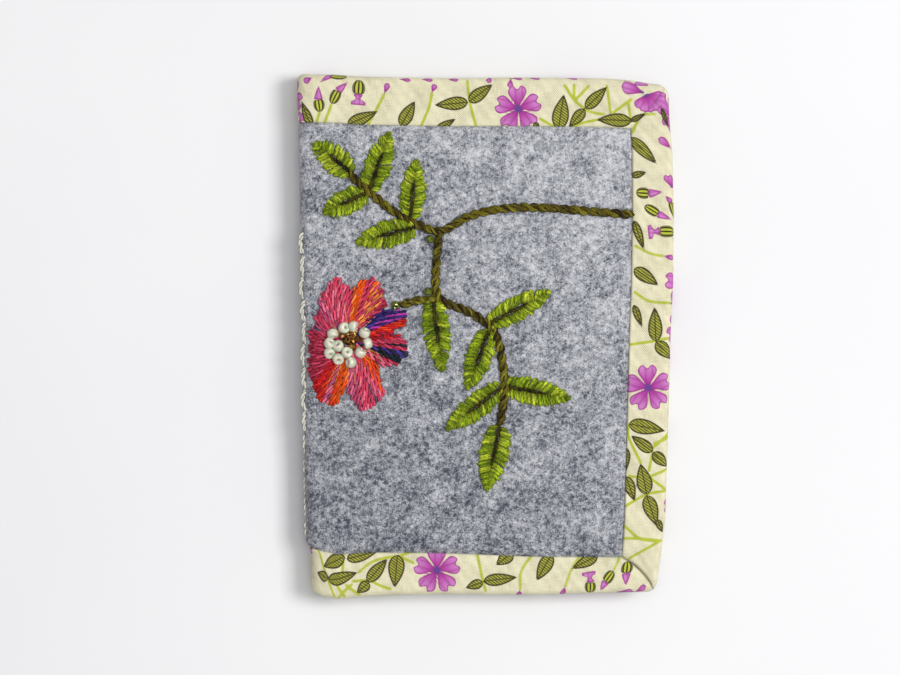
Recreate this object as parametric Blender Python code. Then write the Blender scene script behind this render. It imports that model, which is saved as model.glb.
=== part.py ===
"""Fabric needle case: a small needle book with a bound felt cover, felt pages and embroidery.

The case lies closed on its back cover with the spine at -X and +Z up. Sizes are in
millimetres until the last step, where every mesh is scaled to metres.
"""

import math

import bmesh
import bpy
from mathutils import Matrix, Vector

MM = 0.001

# Outline of the closed case. It narrows a little towards the lower fore-edge corner.
HALF_WIDTH = 47.0
HALF_LENGTH = 66.0
TOP_FORE_CORNER = (47.0, 64.0)
LOWER_FORE_CORNER = (42.5, -66.0)

# Layers of one cover, from its outer face inwards.
GAP = 0.3
BINDING_THICK = 0.3
FELT_UNDER_BINDING = 0.6
FELT_THICK = 1.2
STIFFENER_THICK = 0.5
LINING_THICK = 0.3
COVER_THICK = 3.2
LAYER_INSET = 1.2

# Binding: how far it shows on the outside of each edge, and on the inside.
BINDING_TOP = 12.3
BINDING_FORE = 10.2
BINDING_LOWER = 10.4
BINDING_INSIDE = 8.0
FOLD_RADIUS = 1.4
FOLD_SHARE = 0.48

# Felt pages.
PAGE_THICK = 0.8
PAGE_HALF_HEIGHT = 57.0
PAGE_START_X = -43.9
PAGE_END_X = {1: 36.5, 2: 35.6, 3: 35.6, 4: 36.5}

# Spine: two rounded corners of radius CORNER_RADIUS joined by a flat wall.
CORNER_RADIUS = 3.0
SPINE_END_X = -HALF_WIDTH + CORNER_RADIUS
COVER_START_X = SPINE_END_X + 0.5
SPINE_LAYERS = 2.4
ARC_STEPS = 6

PAGE_STACK = 4 * PAGE_THICK + 5 * GAP
CLOSED_THICK = 2 * COVER_THICK + PAGE_STACK

# A fold axis at this place keeps the cloth's length round the corner when the book opens.
FOLD_X = SPINE_END_X - 0.785 * CORNER_RADIUS
FOLD_HEIGHT = 0.215 * CORNER_RADIUS

# Embroidery.
STITCH_LOW = CLOSED_THICK + GAP
STEM_HALF_WIDTH = 0.8
STEM_HEIGHT = 1.1
LEAF_HEIGHT = 0.7
PETAL_HEIGHT = 0.8
PILLOW_RIM = 0.6
WHITE_BEAD = (1.05, 1.6)
GREEN_BEAD = (1.0, 1.4)
GOLD_BEAD = (0.85, 1.2)
SPINE_STITCH_RADIUS = 0.3
SPINE_STITCH_LENGTH = 5.0
SPINE_STITCH_SPAN = (-52.0, 28.0)

STEM_PATHS = {
    "stem_across": [
        (-33.8, 40.5), (-32.0, 38.5), (-28.0, 35.0), (-24.5, 32.0), (-20.5, 29.5), (-17.0, 27.6),
        (-13.5, 26.2), (-11.0, 26.3), (-8.8, 27.4), (-6.0, 29.1), (-2.0, 30.5), (3.0, 31.4),
        (8.0, 31.7), (14.5, 31.5), (20.5, 31.0), (28.0, 30.2), (34.9, 29.6),
    ],
    "stem_down": [
        (-12.3, 24.2), (-12.6, 21.5), (-13.0, 18.0), (-13.2, 14.5), (-13.2, 11.4), (-12.4, 9.1),
        (-10.0, 7.6), (-6.0, 6.0), (-2.5, 4.0), (0.5, 1.5), (2.2, -2.0), (3.0, -6.5),
        (3.5, -11.5), (3.4, -15.5), (2.8, -19.5), (2.1, -23.0),
    ],
    "flower_stalk": [(-14.7, 8.7), (-17.5, 8.7), (-20.0, 8.1), (-21.7, 7.8)],
}

# Embroidered leaves: tip, base and full width.
LEAVES = [
    ((-43.0, 48.5), (-35.2, 42.0), 5.8),
    ((-24.0, 51.6), (-29.0, 38.2), 5.6),
    ((-41.0, 31.0), (-31.6, 35.4), 5.4),
    ((-17.5, 44.5), (-19.2, 31.4), 5.4),
    ((-33.0, 23.5), (-20.5, 26.6), 5.8),
    ((-12.0, -9.5), (-13.8, 6.4), 5.6),
    ((15.5, 10.5), (1.8, 3.6), 5.2),
    ((-6.0, -14.0), (-0.8, -0.8), 5.4),
    ((-11.5, -24.0), (1.3, -14.4), 5.4),
    ((20.0, -16.5), (5.6, -13.6), 5.6),
    ((-1.5, -39.5), (1.7, -24.8), 6.2),
]
LEAF_PROFILE = [(0.0, 0.3), (0.1, 0.72), (0.25, 0.96), (0.42, 1.0), (0.6, 0.84), (0.78, 0.52), (0.92, 0.2), (1.0, 0.03)]

# Flower: each petal is an inner radius and a fan of (degrees, outer radius) about the centre.
FLOWER_CENTRE = (-35.2, -1.0)
PETALS = {
    "petal_pink_upper": (5.4, [(88, 13.0), (93, 14.6), (101, 16.4), (110, 15.0), (118, 13.6), (127, 12.0), (137, 11.4)]),
    "petal_orange_upper": (5.6, [(45, 13.0), (52, 15.0), (60, 16.4), (68, 16.8), (76, 16.2), (84, 12.8)]),
    "petal_violet": (6.3, [(17, 15.6), (21, 16.6), (25, 16.0), (30, 14.9), (35, 12.6), (41, 11.6)]),
    "petal_navy": (6.6, [(-35, 12.0), (-26, 14.0), (-15, 15.2), (-7, 14.6), (0, 13.8), (10, 11.6)]),
    "petal_pink_lower": (7.1, [(-90, 13.6), (-84, 17.2), (-78, 18.4), (-68, 17.8), (-57, 15.6), (-45, 10.2)]),
    "petal_red_lower": (7.4, [(-129, 14.4), (-119, 16.4), (-112, 17.8), (-106, 17.6), (-101, 16.2), (-95, 12.4)]),
    "petal_crimson": (7.3, [(142, 10.2), (152, 10.0), (163, 10.2), (175, 10.2), (188, 10.2), (202, 11.2), (216, 13.2), (226, 14.6)]),
}

WHITE_BEADS = [
    (-36.37, 2.15), (-33.97, 2.42), (-31.25, 0.8), (-30.55, -1.85), (-32.37, -4.1), (-35.73, -4.1),
    (-34.77, -6.55), (-37.96, -5.6), (-40.1, -4.1), (-40.05, -1.64), (-37.87, -2.39), (-39.2, 0.7),
]
GREEN_BEADS = [(-14.4, 24.1), (-15.2, 10.9), (-23.4, 7.6)]
GOLD_BEADS = [(-36.8, 0.1), (-35.4, 0.5), (-34.0, 0.3), (-32.9, -0.9), (-34.2, -1.4), (-35.6, -1.1), (-34.4, -2.6)]

FELT_GREY = (0.33, 0.33, 0.37)
PRINT_CREAM = (0.68, 0.65, 0.45)
STEM_OLIVE = (0.16, 0.13, 0.02)
LEAF_GREEN = (0.28, 0.45, 0.03)
PETAL_COLOURS = {
    "petal_pink_upper": (0.62, 0.08, 0.16),
    "petal_orange_upper": (0.76, 0.17, 0.05),
    "petal_violet": (0.12, 0.04, 0.3),
    "petal_navy": (0.05, 0.03, 0.12),
    "petal_pink_lower": (0.66, 0.12, 0.2),
    "petal_red_lower": (0.6, 0.04, 0.03),
    "petal_crimson": (0.4, 0.02, 0.07),
}


def clear_scene():
    """Remove everything the startup scene holds."""
    for obj in list(bpy.data.objects):
        bpy.data.objects.remove(obj, do_unlink=True)


def make_material(name, colour, roughness, metallic=0.0):
    """Return a Principled material with one colour."""
    material = bpy.data.materials.new(name)
    material.use_nodes = True
    shader = material.node_tree.nodes["Principled BSDF"]
    shader.inputs["Base Color"].default_value = (*colour, 1.0)
    shader.inputs["Roughness"].default_value = roughness
    shader.inputs["Metallic"].default_value = metallic
    material.diffuse_color = (*colour, 1.0)
    return material


def make_empty(name, x, z, parent=None):
    """Return an empty on a fold axis, which runs along Y through x and z."""
    empty = bpy.data.objects.new(name, None)
    bpy.context.scene.collection.objects.link(empty)
    if parent is not None:
        empty.parent = parent
        empty.matrix_parent_inverse = parent.matrix_world.inverted()
    empty.matrix_world = Matrix.Translation(Vector((x, 0.0, z)) * MM)
    bpy.context.view_layer.update()
    return empty


def make_object(name, points, faces, material, parent, smooth=False):
    """Return a mesh object made from points in millimetres, with its faces turned outwards."""
    mesh = bpy.data.meshes.new(name)
    mesh.from_pydata([Vector(point) * MM for point in points], [], faces)
    work = bmesh.new()
    work.from_mesh(mesh)
    bmesh.ops.recalc_face_normals(work, faces=work.faces)
    if work.calc_volume(signed=True) < 0:
        bmesh.ops.reverse_faces(work, faces=work.faces)
    work.to_mesh(mesh)
    work.free()
    mesh.materials.append(material)
    for polygon in mesh.polygons:
        polygon.use_smooth = smooth
    obj = bpy.data.objects.new(name, mesh)
    bpy.context.scene.collection.objects.link(obj)
    if parent is not None:
        obj.parent = parent
        obj.matrix_parent_inverse = parent.matrix_world.inverted()
    return obj


def rings_to_solid(rings):
    """Return points and faces of a closed solid that joins equal rings end to end."""
    size = len(rings[0])
    points = [point for ring in rings for point in ring]
    faces = [list(range(size)), list(range(len(points) - size, len(points)))]
    for start in range(0, len(points) - size, size):
        for i in range(size):
            after = (i + 1) % size
            faces.append([start + i, start + after, start + size + after, start + size + i])
    return points, faces


def prism(outline, low, high):
    """Return a plate with the given outline between two heights."""
    return rings_to_solid([[(x, y, z) for x, y in outline] for z in (low, high)])


def pillow(outline, low, height):
    """Return a plate with a sloping rim round its upper face."""
    cx = sum(x for x, _ in outline) / len(outline)
    cy = sum(y for _, y in outline) / len(outline)
    raised = [(cx + (x - cx) * 0.86, cy + (y - cy) * 0.86) for x, y in outline]
    rim = low + height * PILLOW_RIM
    rings = [[(x, y, z) for x, y in outline] for z in (low, rim)]
    rings.append([(x, y, low + height) for x, y in raised])
    return rings_to_solid(rings)


def meet(point_a, along_a, point_b, along_b):
    """Return where two lines in the plane meet."""
    cross = along_a[0] * along_b[1] - along_a[1] * along_b[0]
    dx, dy = point_b[0] - point_a[0], point_b[1] - point_a[1]
    t = (dx * along_b[1] - dy * along_b[0]) / cross
    return (point_a[0] + along_a[0] * t, point_a[1] + along_a[1] * t)


def unit(dx, dy):
    """Return a direction of length one."""
    length = math.hypot(dx, dy)
    return (dx / length, dy / length)


# The three bound edges of a cover: two corners, with the cover on the right of the way between them.
TOP_SPINE_CORNER = (-HALF_WIDTH, HALF_LENGTH)
LOWER_SPINE_CORNER = (-HALF_WIDTH, -HALF_LENGTH)
COVER_EDGES = {
    "top": (TOP_SPINE_CORNER, TOP_FORE_CORNER),
    "fore": (TOP_FORE_CORNER, LOWER_FORE_CORNER),
    "lower": (LOWER_FORE_CORNER, LOWER_SPINE_CORNER),
}


def edge_line(edge, inset):
    """Return a point and direction of one cover edge moved inwards."""
    start, end = COVER_EDGES[edge]
    ux, uy = unit(end[0] - start[0], end[1] - start[1])
    return (start[0] + uy * inset, start[1] - ux * inset), (ux, uy)


def cover_outline(top, fore, lower):
    """Return the cover's four corners with its three bound edges moved inwards."""
    spine_side = ((COVER_START_X, 0.0), (0.0, 1.0))
    lines = [edge_line("top", top), edge_line("fore", fore), edge_line("lower", lower), spine_side]
    return [meet(*lines[i - 1], *lines[i]) for i in range(4)]


def cover_height(side, depth):
    """Return the height of a layer at a depth under a cover's outer face."""
    return depth if side == "back" else CLOSED_THICK - depth


def stepped_felt(side):
    """Return the cover felt: thin under the binding, full thickness in the window."""
    base = cover_outline(LAYER_INSET, LAYER_INSET, LAYER_INSET)
    window = cover_outline(BINDING_TOP + GAP, BINDING_FORE + GAP, BINDING_LOWER + GAP)
    inner = cover_height(side, FELT_THICK)
    step = cover_height(side, FELT_UNDER_BINDING)
    outer = cover_height(side, 0.0)
    points = [(x, y, inner) for x, y in base]
    points += [(x, y, step) for x, y in base]
    points += [(x, y, step) for x, y in window]
    points += [(x, y, outer) for x, y in window]
    faces = [[0, 1, 2, 3], [12, 13, 14, 15]]
    faces += [[i, i + 1, i + 5, i + 4] for i in range(3)]
    faces += [[i + 8, i + 9, i + 13, i + 12] for i in range(3)]
    faces.append([4, 5, 6, 7, 11, 10, 9, 8])
    faces.append([3, 0, 4, 8, 12, 15, 11, 7])
    return points, faces


def channel_profile(thick, outside, inside):
    """Return the U section of a binding: (distance from the edge, depth) round the outline."""
    radius = min(FOLD_RADIUS, FOLD_SHARE * thick)
    inner_radius = radius - BINDING_THICK
    outer, inner = [], []
    for turn in range(5):
        angle = math.radians(22.5 * turn)
        reach, drop = 1 - math.sin(angle), 1 - math.cos(angle)
        outer.append((radius * reach, radius * drop))
        inner.append((radius - inner_radius * math.sin(angle), radius - inner_radius * math.cos(angle)))
    outer += [(s, thick - depth) for s, depth in reversed(outer)]
    inner += [(s, thick - depth) for s, depth in reversed(inner)]
    profile = [(outside, 0.0), *outer, (inside, thick), (inside, thick - BINDING_THICK)]
    return [*profile, *reversed(inner), (outside, BINDING_THICK)]


def mitre_line(edge_a, edge_b, keep):
    """Return the line from a cover corner towards the middle, moved off the mitre by half a gap."""
    corner = meet(*edge_line(edge_a, 0.0), *edge_line(edge_b, 0.0))
    within = meet(*edge_line(edge_a, 1.0), *edge_line(edge_b, 1.0))
    ux, uy = unit(within[0] - corner[0], within[1] - corner[1])
    return (corner[0] - uy * keep * GAP / 2, corner[1] + ux * keep * GAP / 2), (ux, uy)


def binding_strip(side, edge, outside):
    """Return one straight binding strip with its mitred or square ends."""
    spine_side = ((COVER_START_X, 0.0), (0.0, 1.0))
    ends = {
        "top": (spine_side, mitre_line("top", "fore", -1)),
        "fore": (mitre_line("top", "fore", 1), mitre_line("fore", "lower", -1)),
        "lower": (mitre_line("fore", "lower", 1), spine_side),
    }[edge]
    rings = []
    for end in ends:
        ring = []
        for inset, depth in channel_profile(COVER_THICK, outside, BINDING_INSIDE):
            x, y = meet(*edge_line(edge, inset), *end)
            ring.append((x, y, cover_height(side, depth)))
        rings.append(ring)
    return rings_to_solid(rings)


def spine_stations():
    """Return points on the spine's outer face and the way inwards, from the back cover to the front."""
    stations = []
    for centre_z, first in ((CORNER_RADIUS, 270.0), (CLOSED_THICK - CORNER_RADIUS, 180.0)):
        for step in range(ARC_STEPS + 1):
            angle = math.radians(first - 90.0 * step / ARC_STEPS)
            away = (math.cos(angle), math.sin(angle))
            x = SPINE_END_X + CORNER_RADIUS * away[0]
            z = centre_z + CORNER_RADIUS * away[1]
            stations.append((x, z, -away[0], -away[1]))
    return stations


def spine_sweep(profile):
    """Return a solid that carries a (y, depth) outline round the spine."""
    rings = []
    for x, z, inward_x, inward_z in spine_stations():
        rings.append([(x + inward_x * depth, y, z + inward_z * depth) for y, depth in profile])
    return rings_to_solid(rings)


def spine_felt_profile():
    """Return the spine felt's section: thin at both bound ends and full between them."""
    end = HALF_LENGTH - LAYER_INSET
    top = HALF_LENGTH - BINDING_TOP - GAP
    low = -HALF_LENGTH + BINDING_LOWER + GAP
    return [
        (-end, FELT_THICK), (-end, FELT_UNDER_BINDING), (low, FELT_UNDER_BINDING), (low, 0.0),
        (top, 0.0), (top, FELT_UNDER_BINDING), (end, FELT_UNDER_BINDING), (end, FELT_THICK),
    ]


def spine_binding_profile(sign, outside):
    """Return the U section at one end of the spine."""
    section = []
    for inset, depth in channel_profile(SPINE_LAYERS, outside, BINDING_INSIDE):
        section.append((sign * (HALF_LENGTH - inset), depth))
    return section


def stem(path):
    """Return a flattened cord that follows a path over the cover felt."""
    section = []
    for turn in range(8):
        angle = math.radians(45.0 * turn)
        section.append((STEM_HALF_WIDTH * math.cos(angle), STEM_HEIGHT / 2 * (1 + math.sin(angle))))
    rings = []
    for i, (x, y) in enumerate(path):
        before, after = path[max(i - 1, 0)], path[min(i + 1, len(path) - 1)]
        ux, uy = unit(after[0] - before[0], after[1] - before[1])
        rings.append([(x - uy * s, y + ux * s, STITCH_LOW + h) for s, h in section])
    return rings_to_solid(rings)


def leaf_outline(tip, base, width):
    """Return the outline of an embroidered leaf from its base round to its tip and back."""
    dx, dy = tip[0] - base[0], tip[1] - base[1]
    ux, uy = unit(dx, dy)
    left, right = [], []
    for share, spread in LEAF_PROFILE:
        x, y = base[0] + dx * share, base[1] + dy * share
        half = width / 2 * spread
        left.append((x - uy * half, y + ux * half))
        right.append((x + uy * half, y - ux * half))
    return left + right[::-1]


def petal_outline(inner, fan):
    """Return a petal's outline: along its outer edge, then back along the flower's centre."""
    cx, cy = FLOWER_CENTRE
    spread = [(math.radians(degrees), radius) for degrees, radius in fan]
    middle = (spread[0][0] + spread[-1][0]) / 2
    inside = [(angle + (middle - angle) * 0.1, inner) for angle, _ in reversed(spread)]
    return [(cx + r * math.cos(a), cy + r * math.sin(a)) for a, r in spread + inside]


def bead_rings(centre, radius, height, low):
    """Return the rings of a drum with bevelled rims, the shape of a seed bead on its side."""
    shape = [(0.72, 0.0), (1.0, 0.28), (1.0, 0.72), (0.72, 1.0)]
    rings = []
    for share, level in shape:
        ring = []
        for turn in range(12):
            angle = math.radians(30.0 * turn + 15.0)
            x = centre[0] + radius * share * math.cos(angle)
            y = centre[1] + radius * share * math.sin(angle)
            ring.append((x, y, low + height * level))
        rings.append(ring)
    return rings


def bead(centre, size):
    """Return a seed bead with its thread hole upright."""
    radius, height = size
    outside = bead_rings(centre, radius, height, STITCH_LOW)
    hole = []
    for ring in (outside[-1], outside[0]):
        hole.append([(centre[0] + (x - centre[0]) * 0.42, centre[1] + (y - centre[1]) * 0.42, z) for x, y, z in ring])
    rings = outside + hole
    size_of_ring = len(rings[0])
    points = [point for ring in rings for point in ring]
    faces = []
    for k in range(len(rings)):
        after_ring = (k + 1) % len(rings)
        for i in range(size_of_ring):
            after = (i + 1) % size_of_ring
            a, b = k * size_of_ring, after_ring * size_of_ring
            faces.append([a + i, a + after, b + after, b + i])
    return points, faces


def gold_cluster(material, parent):
    """Return the clump of small gold beads, which one thread draws together."""
    radius, height = GOLD_BEAD
    first = None
    for i, centre in enumerate(GOLD_BEADS):
        lift = 0.05 * (i % 3)
        points, faces = rings_to_solid(bead_rings(centre, radius, height + lift, STITCH_LOW))
        name = "gold_beads" if first is None else f"gold_bead_cutter_{i}"
        obj = make_object(name, points, faces, material, parent if first is None else None)
        if first is None:
            first = obj
            continue
        obj.hide_render = True
        obj.display_type = "WIRE"
        joined = first.modifiers.new(f"join_{i}", "BOOLEAN")
        joined.operation = "UNION"
        joined.solver = "EXACT"
        joined.object = obj
    return first


def spine_stitch_row():
    """Return the row of back stitches on the spine's front corner, nipped between stitches."""
    reach = CORNER_RADIUS + GAP + SPINE_STITCH_RADIUS
    centre_x = SPINE_END_X - reach * math.sqrt(0.5)
    centre_z = CLOSED_THICK - CORNER_RADIUS + reach * math.sqrt(0.5)
    start, end = SPINE_STITCH_SPAN
    count = round((end - start) / SPINE_STITCH_LENGTH)
    rings = []
    for k in range(count):
        for share, swell in ((0.0, 0.5), (0.12, 1.0), (0.88, 1.0)):
            rings.append((start + (k + share) * SPINE_STITCH_LENGTH, SPINE_STITCH_RADIUS * swell))
    rings.append((end, SPINE_STITCH_RADIUS * 0.5))
    solid = []
    for y, radius in rings:
        turns = [math.radians(45.0 * turn) for turn in range(8)]
        solid.append([(centre_x + radius * math.cos(a), y, centre_z + radius * math.sin(a)) for a in turns])
    return rings_to_solid(solid)


def build_cover(side, materials, parent):
    """Build the layers and binding of one cover."""
    make_object(f"{side}_felt", *stepped_felt(side), materials["cover_felt"], parent)
    layer = cover_outline(LAYER_INSET, LAYER_INSET, LAYER_INSET)
    stiff_depth = FELT_THICK + GAP
    lining_depth = stiff_depth + STIFFENER_THICK + GAP
    for name, depth, thick in (
        ("stiffener", stiff_depth, STIFFENER_THICK),
        ("lining", lining_depth, LINING_THICK),
    ):
        levels = sorted((cover_height(side, depth), cover_height(side, depth + thick)))
        make_object(f"{side}_{name}", *prism(layer, *levels), materials[name], parent)
    for edge, outside in (("top", BINDING_TOP), ("fore", BINDING_FORE), ("lower", BINDING_LOWER)):
        solid = binding_strip(side, edge, outside)
        make_object(f"{side}_binding_{edge}", *solid, materials["binding"], parent)


def build_spine(materials, parent):
    """Build the layers, binding and stitching of the spine."""
    make_object("spine_felt", *spine_sweep(spine_felt_profile()), materials["cover_felt"], parent)
    end = HALF_LENGTH - LAYER_INSET
    low, high = FELT_THICK + GAP, FELT_THICK + GAP + LINING_THICK
    lining = [(-end, high), (-end, low), (end, low), (end, high)]
    make_object("spine_lining", *spine_sweep(lining), materials["lining"], parent)
    for name, sign, outside in (("top", 1, BINDING_TOP), ("lower", -1, BINDING_LOWER)):
        profile = spine_binding_profile(sign, outside)
        make_object(f"spine_binding_{name}", *spine_sweep(profile), materials["binding"], parent)
    make_object("spine_stitches", *spine_stitch_row(), materials["spine_thread"], parent)


def build_page(number, material, spine):
    """Build one felt page on its own fold axis. Page 1 lies under the front cover."""
    low = COVER_THICK + GAP + (4 - number) * (PAGE_THICK + GAP)
    pivot = make_empty(f"page_{number}_fold", PAGE_START_X, low + PAGE_THICK / 2, spine)
    x, y = PAGE_END_X[number], PAGE_HALF_HEIGHT
    outline = [(PAGE_START_X, -y), (x, -y), (x, y), (PAGE_START_X, y)]
    make_object(f"page_{number}", *prism(outline, low, low + PAGE_THICK), material, pivot)


def build_embroidery(materials, parent):
    """Build the stems, leaves, flower and beads on the front cover."""
    for name, path in STEM_PATHS.items():
        make_object(name, *stem(path), materials["stem_thread"], parent, smooth=True)
    for i, (tip, base, width) in enumerate(LEAVES, start=1):
        solid = pillow(leaf_outline(tip, base, width), STITCH_LOW, LEAF_HEIGHT)
        make_object(f"stitched_leaf_{i:02d}", *solid, materials["leaf_thread"], parent)
    for name, (inner, fan) in PETALS.items():
        thread = make_material(f"{name}_thread", PETAL_COLOURS[name], 0.5)
        solid = pillow(petal_outline(inner, fan), STITCH_LOW, PETAL_HEIGHT)
        make_object(name, *solid, thread, parent)
    for i, centre in enumerate(WHITE_BEADS, start=1):
        make_object(f"white_bead_{i:02d}", *bead(centre, WHITE_BEAD), materials["white_glass"], parent)
    for i, centre in enumerate(GREEN_BEADS, start=1):
        make_object(f"green_bead_{i}", *bead(centre, GREEN_BEAD), materials["green_glass"], parent)
    gold_cluster(materials["gold_glass"], parent)


def build_case():
    """Build the whole case, each body under the empty on its own fold axis."""
    clear_scene()
    materials = {
        "cover_felt": make_material("cover_felt", FELT_GREY, 0.95),
        "page_felt": make_material("page_felt", (0.72, 0.69, 0.6), 0.95),
        "stiffener": make_material("stiffener", (0.8, 0.8, 0.77), 0.9),
        "lining": make_material("lining", PRINT_CREAM, 0.85),
        "binding": make_material("binding", PRINT_CREAM, 0.85),
        "spine_thread": make_material("spine_thread", (0.6, 0.58, 0.52), 0.7),
        "stem_thread": make_material("stem_thread", STEM_OLIVE, 0.6),
        "leaf_thread": make_material("leaf_thread", LEAF_GREEN, 0.5),
        "white_glass": make_material("white_glass", (0.72, 0.72, 0.62), 0.3),
        "green_glass": make_material("green_glass", (0.25, 0.32, 0.05), 0.2, 0.6),
        "gold_glass": make_material("gold_glass", (0.4, 0.24, 0.05), 0.2, 0.9),
    }
    spine = make_empty("spine_fold", FOLD_X, FOLD_HEIGHT)
    front = make_empty("front_fold", FOLD_X, CLOSED_THICK - FOLD_HEIGHT, spine)
    build_cover("back", materials, None)
    build_spine(materials, spine)
    build_cover("front", materials, front)
    for number in (1, 2, 3, 4):
        build_page(number, materials["page_felt"], spine)
    build_embroidery(materials, front)


build_case()
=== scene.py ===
"""Looks of the fabric needle case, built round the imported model. Lengths are in millimetres.

Cloth is laid out flat first, on a plane where x runs round the spine and over a cover, and then
wrapped into place. Every piece carries its rest place as an attribute, which its material reads.
"""

import itertools
import math

import bpy
import numpy as np
from mathutils import Matrix, Vector


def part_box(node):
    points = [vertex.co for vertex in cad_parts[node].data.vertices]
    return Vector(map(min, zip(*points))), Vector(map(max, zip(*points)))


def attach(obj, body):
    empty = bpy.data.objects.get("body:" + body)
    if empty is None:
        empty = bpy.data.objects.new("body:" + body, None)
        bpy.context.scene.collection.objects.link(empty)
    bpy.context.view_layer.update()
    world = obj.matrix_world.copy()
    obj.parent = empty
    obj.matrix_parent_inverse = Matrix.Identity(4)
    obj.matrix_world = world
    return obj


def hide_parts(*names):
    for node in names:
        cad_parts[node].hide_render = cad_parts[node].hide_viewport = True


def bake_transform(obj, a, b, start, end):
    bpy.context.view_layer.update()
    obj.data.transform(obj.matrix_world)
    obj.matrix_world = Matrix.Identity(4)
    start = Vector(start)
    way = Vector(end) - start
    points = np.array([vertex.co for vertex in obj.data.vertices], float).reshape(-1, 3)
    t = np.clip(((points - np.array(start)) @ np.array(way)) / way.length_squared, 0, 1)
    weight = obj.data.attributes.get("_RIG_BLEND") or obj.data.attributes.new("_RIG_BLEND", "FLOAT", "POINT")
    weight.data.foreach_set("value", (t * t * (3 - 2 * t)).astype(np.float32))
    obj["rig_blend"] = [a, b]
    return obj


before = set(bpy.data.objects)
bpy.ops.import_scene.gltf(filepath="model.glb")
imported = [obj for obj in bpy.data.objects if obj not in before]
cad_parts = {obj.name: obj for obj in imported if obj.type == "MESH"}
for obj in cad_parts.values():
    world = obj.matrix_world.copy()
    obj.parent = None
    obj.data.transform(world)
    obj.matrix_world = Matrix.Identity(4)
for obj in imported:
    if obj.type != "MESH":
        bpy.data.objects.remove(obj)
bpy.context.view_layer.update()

MM = 0.001


def node_box(name):
    """Return a CAD node's lowest and highest corner in millimetres."""
    low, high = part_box(name)
    return np.array(low) / MM, np.array(high) / MM


# ---- driving sizes, from the CAD model
SPINE_X = node_box("spine_felt")[0][0]
THICK = node_box("front_felt")[1][2]
HALF_LENGTH = node_box("back_binding_top")[1][1]
SPINE_RADIUS = node_box("spine_felt")[1][0] - SPINE_X
SPINE_END = SPINE_X + SPINE_RADIUS
COVER_THICK = THICK - node_box("front_binding_fore")[0][2]
SPINE_THICK = 2.4
WALL = THICK / 2 - SPINE_RADIUS
ARC = SPINE_RADIUS * math.pi / 2
FLAT_START = SPINE_END - WALL - ARC
FORE_TOP = (node_box("front_binding_fore")[1][0], 64.0)
FORE_LOWER = (42.5, -HALF_LENGTH)
FRONT, BACK = 1, -1
SIDE_NAMES = {FRONT: "front", BACK: "back"}

# Layers, as in the CAD model.
FELT_THICK = 1.2
CLOTH_THICK = 0.3
STIFF_DEPTH = 1.5
LINING_DEPTH = 2.3
SPINE_LINING_DEPTH = 1.5
LAYER_INSET = 1.2
BINDING_WIDTH = 11.2
BINDING_INSIDE = 8.0

SHEET_STEP = 0.45
FELT_STEP = 0.8
FAR_AWAY = 50.0

# ---- colours, linear
CREAM = (0.84, 0.80, 0.57)
CREAM_SHADE = (0.66, 0.61, 0.40)
INK_OLIVE = (0.32, 0.33, 0.035)
INK_OLIVE_LIGHT = (0.48, 0.48, 0.07)
INK_BROWN = (0.04, 0.032, 0.008)
INK_MAGENTA = (0.48, 0.065, 0.38)
INK_MAGENTA_DEEP = (0.33, 0.025, 0.24)
INK_PINK = (0.62, 0.22, 0.56)
INK_VIOLET = (0.14, 0.05, 0.28)
INK_LIME = (0.50, 0.54, 0.05)
INK_STEM = (0.42, 0.50, 0.05)
THREAD_GAP_SHADE = (0.10, 0.09, 0.05)
CREASE_SHADE = (0.10, 0.075, 0.03)
PALE_FIBRE = (0.85, 0.78, 0.62)


# ---- small maths
def smoothstep(low, high, value):
    """Return 0 below low, 1 above high, and a smooth rise between them."""
    t = np.clip((value - low) / (high - low), 0.0, 1.0)
    return t * t * (3 - 2 * t)


def blend_corners(grid, i, j, part_i, part_j):
    """Return values between four neighbouring places of a grid, which starts again at its end."""
    rows, columns = grid.shape
    next_i, next_j = (i + 1) % rows, (j + 1) % columns
    near = grid[i, j] * (1 - part_i) + grid[next_i, j] * part_i
    far = grid[i, next_j] * (1 - part_i) + grid[next_i, next_j] * part_i
    return near * (1 - part_j) + far * part_j


def soft_noise(x, y, scale, seed):
    """Return smooth random values from -1 to 1 with features about scale wide."""
    table = np.random.default_rng(seed).uniform(-1, 1, (64, 64))
    u, v = np.asarray(x, float) / scale, np.asarray(y, float) / scale
    i, j = np.floor(u).astype(int), np.floor(v).astype(int)
    return blend_corners(table, i % 64, j % 64, smoothstep(0, 1, u - i), smoothstep(0, 1, v - j))


def run_along(points):
    """Return the distance along a line from its first point to each of its points."""
    return np.concatenate([[0], np.cumsum(np.linalg.norm(np.diff(points, axis=0), axis=1))])


def resample(points, step):
    """Return points about step apart along a smooth line through the given ones."""
    p = np.asarray(points, float)
    ghost = np.vstack([2 * p[0] - p[1], p, 2 * p[-1] - p[-2]])
    t = np.linspace(0, 1, 24, endpoint=False)[:, None]
    fine = []
    for a, b, c, d in zip(ghost, ghost[1:], ghost[2:], ghost[3:]):
        square, cube = 2 * a - 5 * b + 4 * c - d, 3 * b - a - 3 * c + d
        fine.append(0.5 * (2 * b + (c - a) * t + square * t**2 + cube * t**3))
    fine = np.vstack([*fine, p[-1:]])
    along = run_along(fine)
    wanted = np.linspace(0, along[-1], max(2, round(along[-1] / step) + 1))
    return np.stack([np.interp(wanted, along, values) for values in fine.T], axis=1)


def sideways(path):
    """Return the unit directions to the side of a path and over it, at each of its points."""
    ahead = np.gradient(path, axis=0)
    ahead /= np.linalg.norm(ahead, axis=1)[:, None] + 1e-12
    side = np.cross(ahead, [0.0, 0.0, 1.0])
    side /= np.linalg.norm(side, axis=1)[:, None] + 1e-12
    return side, np.cross(side, ahead)


# ---- meshes
ATTRIBUTE_KINDS = {1: ("FLOAT", "value"), 3: ("FLOAT_VECTOR", "vector"), 4: ("FLOAT_COLOR", "color")}


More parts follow.
